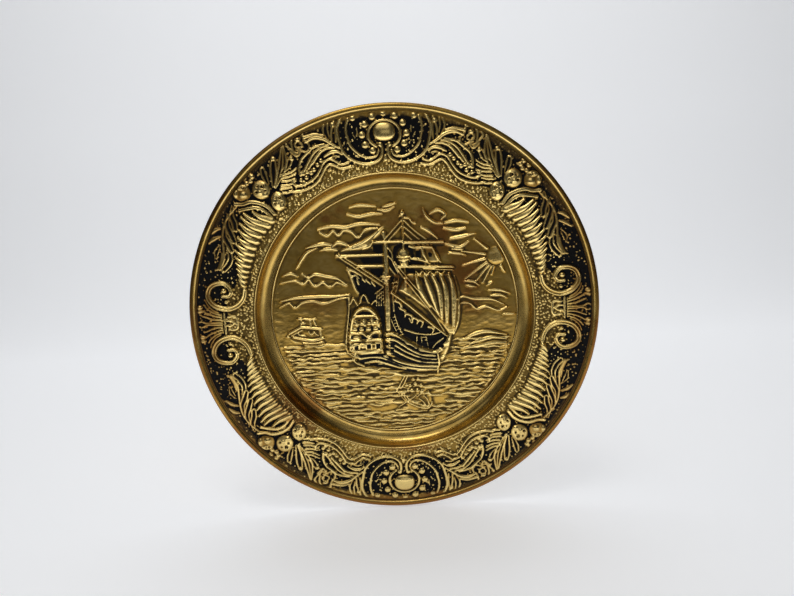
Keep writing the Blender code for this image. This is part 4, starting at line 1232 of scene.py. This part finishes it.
@dataclass
class PressedSheet:
    """A stretch of the sheet as a grid of places, with its depth from the front and its finish."""

    x: Array
    z: Array
    depth: Array
    finish: Finish
    wrapped: bool = False
    front: Array = field(init=False)
    back: Array = field(init=False)
    front_normals: Array = field(init=False)
    back_normals: Array = field(init=False)

    def __post_init__(self) -> None:
        """Press the back through from the front."""
        back_depth = soften(self.depth, 2, self.wrapped) + SIZES.sheet
        self.front = np.stack([self.x, self.depth - SIZES.ground, self.z], -1)
        self.back = np.stack([self.x, np.minimum(back_depth - SIZES.ground, 0.0), self.z], -1)
        self.front_normals = grid_normals(self.front, self.wrapped)
        self.back_normals = -grid_normals(self.back, self.wrapped)

    def piece(self, name: str, rows: Array, columns: Array) -> bpy.types.Object:
        """Make a closed shell of a part of the stretch, and store its finish.

        Args:
            name: name of the shell.
            rows: the rows that it takes.
            columns: the columns that it takes.

        Returns:
            The shell.
        """
        fine = np.ix_(rows, columns)
        coarse = np.ix_(rows[::Meshes.RATIO], columns[::Meshes.RATIO])
        item = Meshes.shell(name, self.front[fine], self.back[coarse], self.front_normals[fine],
                            self.back_normals[coarse])
        pattern = self.finish.cut(coarse)
        plain = np.zeros(pattern.relief.shape)
        # The back is plain and browned like the front, and darkened with soiling and painted shade behind the
        # front's crests, where the back is hollow.
        reverse = Finish(plain + 0.40, plain, pattern.wear_and_shading, 0.45 * pattern.relief)
        self.finish.cut(fine).store(item, reverse)
        return item


def ring_turns(columns: int) -> Array:
    """Angles of the columns of a full ring.

    Args:
        columns: number of columns.

    Returns:
        One row of angles, from 0 at the right side up to just under a full turn.
    """
    return (np.arange(columns) / columns * 2 * math.pi)[None]


class Tarnish:
    """Where the brass is browned, in shares of the plaque's radius."""

    # Centre across and up, reach across and up, strength
    STAINS: list[tuple[float, float, float, float, float]] = [
        (-0.52, -0.42, 0.20, 0.16, 0.9), (-0.38, 0.06, 0.16, 0.10, 0.7), (0.36, 0.12, 0.14, 0.12, 0.5),
        (-0.10, -0.97, 0.50, 0.06, 0.9), (0.45, -0.87, 0.30, 0.06, 0.7), (0.62, 0.10, 0.05, 0.30, 0.4),
        (-0.30, 0.50, 0.14, 0.10, 0.3), (0.20, 0.40, 0.20, 0.12, 0.4), (-0.05, -0.690, 0.35, 0.020, 0.8),
        (0.0, 0.05, 0.12, 0.22, 0.5),
    ]

    @classmethod
    def at(cls, x: Array, z: Array) -> Array:
        """Strength of the tarnish from 0 to 1: soft stains broken up by noise.

        Args:
            x: places across, metres.
            z: places up, metres.

        Returns:
            The strength at each place.
        """
        u, v = x / SIZES.radius, z / SIZES.radius
        stained = np.zeros(u.shape)
        for centre_x, centre_z, reach_x, reach_z, strength in cls.STAINS:
            gap = ((u - centre_x) / reach_x) ** 2 + ((v - centre_z) / reach_z) ** 2
            stained = np.maximum(stained, strength * np.exp(-gap))
        blotches = value_noise(u, v, 0.16, 41, 4)
        return np.clip(stained * (0.5 + blotches) + 0.5 * ease((blotches - 0.55) / 0.25), 0, 1)

    @staticmethod
    def rim(turns: Array) -> Array:
        """Strength of the rim's own browning: patchy, and most at the lower left.

        Args:
            turns: angles round the rim from its right side.

        Returns:
            The strength at each angle.
        """
        patchy = value_noise(6 * np.cos(turns), 6 * np.sin(turns), 1.1, 57, 4)
        lower_left = np.cos(turns - math.radians(215)) * 0.5 + 0.5
        return ease((patchy - 0.35) / 0.35) * (0.45 + 0.55 * lower_left)


@dataclass(frozen=True)
class Border:
    """The broad border, as an upper and a lower half."""

    rows: int = 96
    columns: int = 1800

    def build(self) -> list[bpy.types.Object]:
        """Make both halves.

        Returns:
            The pieces.
        """
        radii = np.linspace(SIZES.groove_inner, SIZES.border_inner, self.rows + 1)[:, None]
        turns = ring_turns(self.columns)
        x, z = radii * np.cos(turns), radii * np.sin(turns)
        share = (radii - SIZES.border_inner) / (SIZES.groove_inner - SIZES.border_inner)
        drawn = DRAWN_BORDER_INNER + share * (DRAWN_BORDER_OUTER - DRAWN_BORDER_INNER) + 0 * turns
        drawing = BorderDrawing((drawn * np.cos(turns)).ravel(), (drawn * np.sin(turns)).ravel())
        relief = soften(drawing.draw().height.reshape(x.shape), 1, wrapped=True)
        relief = relief * ease(share / 0.02) * ease((1 - share) / 0.03)
        zone = drawing.black_ground().reshape(x.shape)
        finish = Finish.pressed(relief, zone, Tarnish.at(x, z), wrapped=True)
        low = zone * (1 - ease((relief - 0.22) / 0.45))
        finish.black = np.maximum(low, finish.black * finish.grime_and_shade)
        # The bare gold ground is darkened, more at the sides, and toward its outer edge the border is made duller
        # and browner, again more at the sides.
        sideways = 0.5 + 0.5 * np.cos(2 * turns)
        bare = 1 - ease((relief - 0.05) / 0.40)
        finish.grime_and_shade = np.maximum(finish.grime_and_shade, (0.40 + 0.40 * sideways) * bare * (1 - zone))
        finish.relief *= 1 - ease((share - 0.40) / 0.35) * (0.18 + 0.30 * sideways)
        finish.wear_and_shading = np.maximum(finish.wear_and_shading, ease((share - 0.35) / 0.45) * (0.45 + 0.32 * sideways))
        sheet = PressedSheet(x, z, -MILLIMETRE * relief, finish, wrapped=True)
        half = np.arange(self.columns // 2 + 1)
        return [sheet.piece("border_upper", np.arange(self.rows + 1), half),
                sheet.piece("border_lower", np.arange(self.rows + 1), (half + self.columns // 2) % self.columns)]


@dataclass(frozen=True)
class ShipField:
    """The round sunk field with the ship scene, on a square grid drawn out to a disc, as two halves."""

    cells: int = 414

    def build(self) -> list[bpy.types.Object]:
        """Make both halves.

        The grid keeps the same area in each cell: a place's larger side gives its radius, and the ratio of
        its sides gives its angle.

        Returns:
            The pieces.
        """
        side = np.linspace(-1, 1, self.cells + 1)
        up, across = np.meshgrid(side, side, indexing="ij")
        wide = np.abs(across) > np.abs(up)
        larger = np.where(wide, across, up)
        smaller = np.where(wide, up, across)
        turn = math.pi / 4 * smaller / np.where(larger == 0, 1, larger)
        reach_x = np.where(wide, larger * np.cos(turn), larger * np.sin(turn))
        reach_z = np.where(wide, larger * np.sin(turn), larger * np.cos(turn))
        x, z = reach_x * SIZES.well, reach_z * SIZES.well
        drawing = FieldDrawing((reach_x * DRAWN_FIELD_RADIUS).ravel(),
                               (reach_z * DRAWN_FIELD_RADIUS + FIELD_DROP).ravel())
        height = drawing.draw().height.reshape(x.shape)
        height = soften(height, 1) * ease((1 - np.hypot(reach_x, reach_z)) / 0.02)
        finish = Finish.pressed(height, drawing.black.reshape(x.shape), Tarnish.at(x, z))
        caught = drawing.near_ship().reshape(x.shape) * ease((finish.grime_and_shade - 0.50) / 0.40)
        finish.black = np.maximum(finish.black, 0.45 * caught)
        sheet = PressedSheet(x, z, SIZES.well_depth - MILLIMETRE * height, finish)
        half = np.arange(self.cells // 2 + 1)
        columns = np.arange(self.cells + 1)
        return [sheet.piece("field_lower", half, columns),
                sheet.piece("field_upper", half + self.cells // 2, columns)]


def turned(radius: Array, depth: Array, turns: Array) -> Array:
    """Turn a profile round the plaque's axis.

    Args:
        radius: radius of each row, or of each place.
        depth: depth of each row or place behind the border's ground, metres.
        turns: angle of each column.

    Returns:
        A grid of points.
    """
    if radius.ndim == 1:
        radius, depth = radius[:, None], depth[:, None]
    return np.stack([radius * np.cos(turns), depth - SIZES.ground + 0 * turns, radius * np.sin(turns)], -1)


@dataclass(frozen=True)
class Cove:
    """The smooth cove between the border and the field, with a raised line at each side of it."""

    columns: int = 1656
    cove_rows: int = 15
    line_rows: int = 6
    # How deep the fine dents are over the cove and near the field, metres
    dent: float = 0.00030
    inner_dent: float = 0.00045

    def profile(self) -> tuple[Array, Array]:
        """Radius and depth from the border in to the field.

        The lines are round ridges. The cove is much like a quarter of an ellipse, steep under the border and
        level at the field.

        Returns:
            The radii and the depths, metres.
        """
        ridge = np.linspace(0, 1, self.line_rows + 1)
        top_radius = SIZES.border_inner - ridge * SIZES.cove_line_width
        top_depth = -SIZES.cove_line_height * np.sin(math.pi * ridge) ** 0.8
        inward = np.cos(np.linspace(0, math.pi / 2, self.cove_rows + 1)[1:])
        cove_radius = SIZES.field_edge + SIZES.cove_width * inward
        cove_depth = SIZES.well_depth * (1 - inward ** 2.6) ** 0.42
        low = ridge[1:]
        low_radius = SIZES.field_edge - low * SIZES.well_line_width
        low_depth = SIZES.well_depth - SIZES.well_line_height * np.sin(math.pi * low) ** 0.8
        return (np.concatenate([top_radius, cove_radius, low_radius]),
                np.concatenate([top_depth, cove_depth, low_depth]))

    def build(self) -> bpy.types.Object:
        """Make the cove as a ring with its own wall thickness square to its face.

        Returns:
            The piece.
        """
        radius, depth = self.profile()
        turns = ring_turns(self.columns)
        slope_radius, slope_depth = np.gradient(radius), np.gradient(depth)
        length = np.hypot(slope_radius, slope_depth)
        share = np.arange(len(radius)) / (len(radius) - 1)
        dents = value_noise(40 * np.cos(turns) + 60 * share[:, None], 40 * np.sin(turns), 6.0, 33, 3) - 0.5
        inner = (share > 0.78)[:, None]
        dented = np.where(inner, self.inner_dent, self.dent) * dents * np.sin(math.pi * share)[:, None] ** 0.4
        front = turned(radius[:, None] + 0 * turns, depth[:, None] + dented, turns)
        rows = np.arange(0, len(radius), Meshes.RATIO)
        out_radius = radius[rows] + SIZES.sheet * (slope_depth / length)[rows]
        out_depth = depth[rows] - SIZES.sheet * (slope_radius / length)[rows]
        out_radius[[0, -1]] = radius[[0, -1]]
        out_depth[[0, -1]] = depth[[0, -1]] + SIZES.sheet
        out_depth = np.minimum(out_depth, SIZES.ground)
        back = turned(out_radius, out_depth, turns[:, ::Meshes.RATIO])
        item = Meshes.shell("cove", front, back, grid_normals(front, True), -grid_normals(back, True), wrapped=True)
        number = np.arange(len(radius))
        # The raised lines are brightened, partly as burnish and partly as a painted highlight, and the cove is
        # darkened by a painted shadow at the foot of the upper line and beside the lower line.
        ridge = np.maximum(np.exp(-((number - 3) / 1.6) ** 2),
                           np.exp(-((number - self.line_rows - self.cove_rows - 3) / 1.6) ** 2))
        foot = np.maximum(np.exp(-((number - self.line_rows - 1) / 1.3) ** 2),
                          0.7 * np.exp(-((number - self.line_rows - self.cove_rows) / 1.0) ** 2))
        finish = Finish.turned(front, 0.42 + 0.5 * ridge, 0.75 * foot)
        finish.store(item, Finish.turned(back, np.full(len(rows), 0.4), np.zeros(len(rows))))
        return item


@dataclass(frozen=True)
class RolledRim:
    """The rim, its edge rolled over to the back, with the groove inside it."""

    columns: int = 900
    steps: int = 24

    def profile(self) -> Array:
        """The closed outline of the rim's section, from the groove over the roll to the back.

        The groove is half a wave, and the roll is a circle that starts and ends at the sheet.

        Returns:
            Radius and depth behind the border's ground, one row for each corner, metres.
        """
        half = SIZES.roll / 2
        middle_radius, middle_depth = SIZES.radius - half, half - SIZES.roll_rise
        groove = np.linspace(0, 1, 6)
        groove_radius = SIZES.groove_inner + groove * SIZES.groove_width
        groove_depth = SIZES.groove_depth * np.sin(math.pi * groove)
        turns = np.radians(np.linspace(158, -165, self.steps))
        roll_radius = middle_radius + half * np.cos(turns)
        roll_depth = middle_depth - half * np.sin(turns)
        back_radius = np.array([SIZES.groove_outer, SIZES.groove_inner])
        back_depth = np.array([SIZES.groove_depth, 0.0]) + SIZES.sheet
        return np.column_stack([np.concatenate([groove_radius, roll_radius, back_radius]),
                                np.concatenate([groove_depth, roll_depth, back_depth])])

    def build(self) -> bpy.types.Object:
        """Make the rim as a closed ring.

        Returns:
            The piece.
        """
        outline = self.profile()
        turns = ring_turns(self.columns)
        points = turned(outline[:, 0], outline[:, 1], turns)
        numbers = np.arange(points.shape[0] * points.shape[1]).reshape(points.shape[:2])
        numbers = np.vstack([numbers, numbers[:1]])
        numbers = np.hstack([numbers, numbers[:, :1]])
        item = Meshes.from_faces("rolled_rim", points.reshape(-1, 3), Meshes.grid_faces(numbers)[:, ::-1], [],
                                 -grid_normals(points, True))
        # A painted highlight runs as a bright line along the front of the roll just outside the groove, and the
        # groove is darkened with painted shade.
        painted_highlight = np.exp(-((outline[:, 0] - SIZES.groove_outer - 0.0010) / 0.0009) ** 2) * (outline[:, 1] < 0.001)
        groove = np.exp(-((outline[:, 0] - SIZES.groove_outer + 0.0004) / 0.0008) ** 2)
        finish = Finish.turned(points, 0.10 + 0.36 * painted_highlight, 0.85 * groove)
        # Toward the top the rim is made lighter and less browned, as painted light from above.
        top = np.clip(np.sin(turns), 0, 1) ** 2
        finish.relief = np.clip(finish.relief + 0.15 * ease((np.sin(turns) - 0.35) / 0.5), 0, 1)
        wear_and_shading = finish.wear_and_shading + 0.62 - 0.35 * top + 0.4 * Tarnish.rim(turns)
        finish.wear_and_shading = np.clip(wear_and_shading, 0, 1) * (1 - 0.6 * painted_highlight[:, None])
        empty = np.zeros((0, 1))
        finish.store(item, Finish(empty, empty, empty, empty))
        return item


class Socket:
    """A shader value or colour that takes part in ordinary sums."""

    def __init__(self, graph: "Graph", link: bpy.types.NodeSocket) -> None:
        """Keep the graph and the output that carries the value."""
        self.graph = graph
        self.link = link

    def _sum(self, operation: str, other: "Socket | float", swapped: bool = False) -> "Socket":
        """Add a Math node between this value and another.

        Args:
            operation: the node's operation.
            other: the other value.
            swapped: True where the other value comes first.

        Returns:
            The node's output.
        """
        pair = (other, self) if swapped else (self, other)
        return self.graph.node("ShaderNodeMath", {"operation": operation}, {0: pair[0], 1: pair[1]})

    def __add__(self, other: "Socket | float") -> "Socket":
        """Sum."""
        return self._sum("ADD", other)

    __radd__ = __add__

    def __sub__(self, other: "Socket | float") -> "Socket":
        """Difference."""
        return self._sum("SUBTRACT", other)

    def __rsub__(self, other: float) -> "Socket":
        """Difference from a number."""
        return self._sum("SUBTRACT", other, swapped=True)

    def __mul__(self, other: "Socket | float") -> "Socket":
        """Product."""
        return self._sum("MULTIPLY", other)

    __rmul__ = __mul__

    def clamped(self, low: float, high: float) -> "Socket":
        """This value carried from a range to 0 to 1, smoothly, and held there."""
        return self.graph.node("ShaderNodeMapRange", {"interpolation_type": "SMOOTHSTEP"},
                               {"Value": self, "From Min": low, "From Max": high})


class Graph:
    """The nodes of one material."""

    def __init__(self, name: str) -> None:
        """Make a material with nothing but its shader and its output."""
        self.material = bpy.data.materials.new(name)
        self.material.use_nodes = True
        self.tree = self.material.node_tree
        self.shader = self.tree.nodes["Principled BSDF"]

    def node(self, kind: str, settings: dict[str, object], values: dict[int | str, object],
             output: int | str = 0) -> Socket:
        """Add a node.

        Args:
            kind: the node's type.
            settings: the node's own settings, set first.
            values: a value or a Socket for each input named.
            output: the output to use.

        Returns:
            The output as a Socket.
        """
        made = self.tree.nodes.new(kind)
        for label, value in settings.items():
            setattr(made, label, value)
        for label, value in values.items():
            if isinstance(value, Socket):
                self.tree.links.new(value.link, made.inputs[label])
            else:
                made.inputs[label].default_value = value
        return Socket(self, made.outputs[output])

    def attribute(self, name: str) -> Socket:
        """A number stored on the mesh."""
        return self.node("ShaderNodeAttribute", {"attribute_name": name}, {}, "Fac")

    def mix(self, share: Socket | float, first: object, second: object) -> Socket:
        """Mix two colours: the first at 0, the second at 1."""
        return self.node("ShaderNodeMix", {"data_type": "RGBA"}, {0: share, 6: first, 7: second}, 2)

    def noise(self, place: Socket, scale: float, detail: float = 3.0, roughness: float = 0.55) -> Socket:
        """Soft random waves over a place."""
        return self.node("ShaderNodeTexNoise", {}, {"Vector": place, "Scale": scale, "Detail": detail,
                                                    "Roughness": roughness}, "Fac")

    def feed(self, **values: object) -> None:
        """Give values or Sockets to the shader, by its input's name with spaces as underscores."""
        for label, value in values.items():
            socket = self.shader.inputs[label.replace("_", " ")]
            if isinstance(value, Socket):
                self.tree.links.new(value.link, socket)
            else:
                socket.default_value = value


@dataclass(frozen=True)
class Brass:
    """Aged brass: bright on the high places, partly as a painted highlight, browned and darkened in the low ones,
    partly as painted shade, with black paint in the ground.
    """

    name: str
    bright: tuple[float, float, float, float] = (0.89, 0.67, 0.25, 1.0)
    dull: tuple[float, float, float, float] = (0.40, 0.245, 0.050, 1.0)
    brown: tuple[float, float, float, float] = (0.27, 0.120, 0.028, 1.0)
    dirt_and_shade: tuple[float, float, float, float] = (0.050, 0.033, 0.010, 1.0)
    paint: tuple[float, float, float, float] = (0.0035, 0.0033, 0.0035, 1.0)
    low: float = 0.10
    high: float = 0.75
    smooth_roughness: float = 0.22
    dull_roughness: float = 0.38
    grain: float = 0.10

    def make(self) -> bpy.types.Material:
        """Build the material.

        Returns:
            The material, fed by the mesh's relief, black, wear and grime numbers and by its own place; these carry
            painted highlight and painted shade as well as burnish, tarnish and soiling.
        """
        graph = Graph(self.name)
        place = graph.node("ShaderNodeTexCoord", {}, {}, "Object")
        clouding = graph.noise(place, 60.0, 4.0)
        speckle = graph.noise(place, 900.0, 2.0)
        # The relief number lifts the colour toward bright as burnish and a painted highlight; the grime number
        # lowers it toward the dark colour as soiling and painted shade.
        polished_and_highlit = (graph.attribute("relief") + (clouding - 0.5) * 0.4).clamped(self.low, self.high)
        metal = graph.mix(polished_and_highlit, self.dull, self.bright)
        # Browning follows the tarnish number, which also carries the rim's painted light from above.
        browned = (graph.attribute("wear_and_shading") + (speckle - 0.5) * 0.5).clamped(0.30, 0.95)
        metal = graph.mix(browned * (1 - polished_and_highlit * 0.55), metal, self.brown)
        soiled_and_shaded = (graph.attribute("grime_and_shade") + (speckle - 0.5) * 0.3).clamped(0.05, 1.10)
        metal = graph.mix(soiled_and_shaded, metal, self.dirt_and_shade)
        painted = (graph.attribute("black") + (speckle - 0.5) * 0.35).clamped(0.25, 0.70)
        colour = graph.mix(painted, metal, self.paint)
        sheen = self.dull_roughness - polished_and_highlit * (self.dull_roughness - self.smooth_roughness) + clouding * 0.08
        bump = graph.node("ShaderNodeBump", {}, {"Strength": self.grain, "Distance": 0.0004, "Height": speckle})
        graph.feed(Base_Color=colour, Metallic=(1 - painted) * (1 - soiled_and_shaded * 0.6), Normal=bump,
                   Roughness=sheen + painted * 0.2 + soiled_and_shaded * 0.15, Specular_IOR_Level=0.12)
        return graph.material


@dataclass(frozen=True)
class Studio:
    """The pale floor and backdrop, the soft lights and the camera."""

    # The camera's place in plaque radii from the middle of the rim, and its way of looking
    camera_place: tuple[float, float, float] = (0.01667, -2.74466, 0.52647)
    camera_forward: tuple[float, float, float] = (-0.000733, 0.987309, -0.158812)
    camera_up: tuple[float, float, float] = (0.047822, 0.158665, 0.986174)
    focal_pixels: float = 573.0
    image_width: float = 794.0
    sensor_width: float = 36.0
    # The floor's half width, how far it runs before and behind the plaque, how high its backdrop rises, the
    # radius of the sweep between them, and its gap under the rim
    floor_reach: float = 1.3
    floor_before: float = 0.55
    floor_behind: float = 1.1
    backdrop_height: float = 2.4
    sweep: float = 0.5
    floor_gap: float = 0.0005

    def camera(self) -> None:
        """Stand the camera where the picture was taken from."""
        data = bpy.data.cameras.new("camera")
        data.sensor_width = self.sensor_width
        data.lens = self.focal_pixels / self.image_width * self.sensor_width
        data.clip_start = 0.01
        camera = bpy.data.objects.new("camera", data)
        forward, up = Vector(self.camera_forward).normalized(), Vector(self.camera_up).normalized()
        right = forward.cross(up).normalized()
        up = right.cross(forward)
        matrix = camera.matrix_world.to_3x3()
        matrix.col[0], matrix.col[1], matrix.col[2] = right, up, -forward
        camera.matrix_world = matrix.to_4x4()
        place = Vector(self.camera_place) * SIZES.radius
        camera.location = place + Vector((0.0, -SIZES.ground, 0.0))
        bpy.context.scene.collection.objects.link(camera)
        bpy.context.scene.camera = camera

    def floor(self) -> None:
        """A pale floor under the rim that sweeps up into a backdrop well behind."""
        turns = np.linspace(0, math.pi / 2, 13)
        swept = self.floor_behind - self.sweep + self.sweep * np.sin(turns)
        run = np.concatenate([[-self.floor_before], swept, [self.floor_behind]])
        rise = np.concatenate([[0.0], self.sweep - self.sweep * np.cos(turns), [self.backdrop_height]])
        level = -SIZES.radius - self.floor_gap
        points = [(x, y, z) for y, z in zip(run, rise + level) for x in (-self.floor_reach, self.floor_reach)]
        faces = [(2 * i, 2 * i + 1, 2 * i + 3, 2 * i + 2) for i in range(len(run) - 1)]
        mesh = bpy.data.meshes.new("floor")
        mesh.from_pydata(points, [], faces)
        mesh.shade_smooth()
        floor = bpy.data.objects.new("floor", mesh)
        graph = Graph("floor")
        graph.feed(Base_Color=(0.80, 0.80, 0.81, 1.0), Roughness=0.7, Emission_Color=(0.95, 0.97, 1.0, 1.0),
                   Emission_Strength=0.42)
        mesh.materials.append(graph.material)
        bpy.context.scene.collection.objects.link(floor)

    @staticmethod
    def light(name: str, place: tuple[float, float, float], target: tuple[float, float, float],
              size: tuple[float, float], power: float, colour: tuple[float, float, float], spread: float) -> None:
        """Hang a soft oblong light.

        Args:
            name: name of the light.
            place: where it hangs, metres.
            target: what it faces.
            size: its width and height, metres.
            power: watts.
            colour: its colour.
            spread: how far its beam opens, degrees.
        """
        data = bpy.data.lights.new(name, "AREA")
        data.shape = "RECTANGLE"
        data.size, data.size_y = size
        data.energy = power
        data.color = colour
        data.spread = math.radians(spread)
        lamp = bpy.data.objects.new(name, data)
        lamp.location = place
        lamp.rotation_euler = (Vector(target) - Vector(place)).to_track_quat("-Z", "Y").to_euler()
        bpy.context.scene.collection.objects.link(lamp)

    def lights(self) -> None:
        """Hang the lights and set the dim surroundings.

        A broad light hangs before and over the plaque, smaller ones overhead and in front, and strips at the
        sides. Light also comes off the table, and one light is for the backdrop.
        """
        warm, cool = (1.0, 0.98, 0.95), (0.96, 0.98, 1.0)
        self.light("front_top", (-0.25, -1.1, 1.25), (0.0, 0.0, 0.0), (1.8, 1.1), 4.6, warm, 180.0)
        self.light("overhead", (-0.15, -0.30, 1.0), (0.0, -0.05, -0.18), (0.5, 0.3), 0.66, warm, 100.0)
        self.light("table", (0.0, -0.33, -0.174), (0.0, -0.33, 1.0), (0.8, 0.34), 0.75, warm, 180.0)
        self.light("front", (0.2, -2.0, 0.26), (0.0, 0.0, 0.10), (1.4, 0.55), 1.0, warm, 180.0)
        self.light("side_right", (1.5, -1.1, 0.1), (0.0, 0.0, 0.0), (0.12, 0.9), 0.12, warm, 180.0)
        self.light("side_left", (-1.5, -1.1, 0.1), (0.0, 0.0, 0.0), (0.12, 0.9), 0.12, cool, 180.0)
        self.light("backdrop", (0.0, 0.40, 1.5), (0.0, 1.10, 0.25), (1.8, 0.3), 5.0, cool, 150.0)
        world = bpy.data.worlds.new("surround")
        bpy.context.scene.world = world
        world.use_nodes = True
        world.node_tree.nodes["Background"].inputs["Color"].default_value = (0.80, 0.82, 0.86, 1.0)
        world.node_tree.nodes["Background"].inputs["Strength"].default_value = 0.045

    def build(self) -> None:
        """Set up the whole studio."""
        self.camera()
        self.floor()
        self.lights()
        bpy.context.scene.view_settings.view_transform = "Standard"


def dress(item: bpy.types.Object, material: bpy.types.Material) -> None:
    """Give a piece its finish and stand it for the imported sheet.

    Args:
        item: the piece.
        material: its finish.
    """
    item.data.materials.append(material)
    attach(item, "root")
    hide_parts("plaque")
    log.info("%s: %d faces", item.name, len(item.data.polygons))


def main() -> None:
    """Build the plaque piece by piece, dress it and set up the studio."""
    logging.basicConfig(level=logging.INFO, format="%(name)s: %(message)s")
    border_brass = Brass("border_brass").make()
    field_brass = Brass("field_brass", low=0.18, high=0.90, dull_roughness=0.25).make()
    plain_brass = Brass("plain_brass", low=0.20, high=0.90, smooth_roughness=0.13, dull_roughness=0.24,
                        grain=0.04).make()
    for half in Border().build():
        dress(half, border_brass)
    for half in ShipField().build():
        dress(half, field_brass)
    dress(Cove().build(), plain_brass)
    dress(RolledRim().build(), plain_brass)
    Studio().build()


if __name__ == "__main__":
    main()
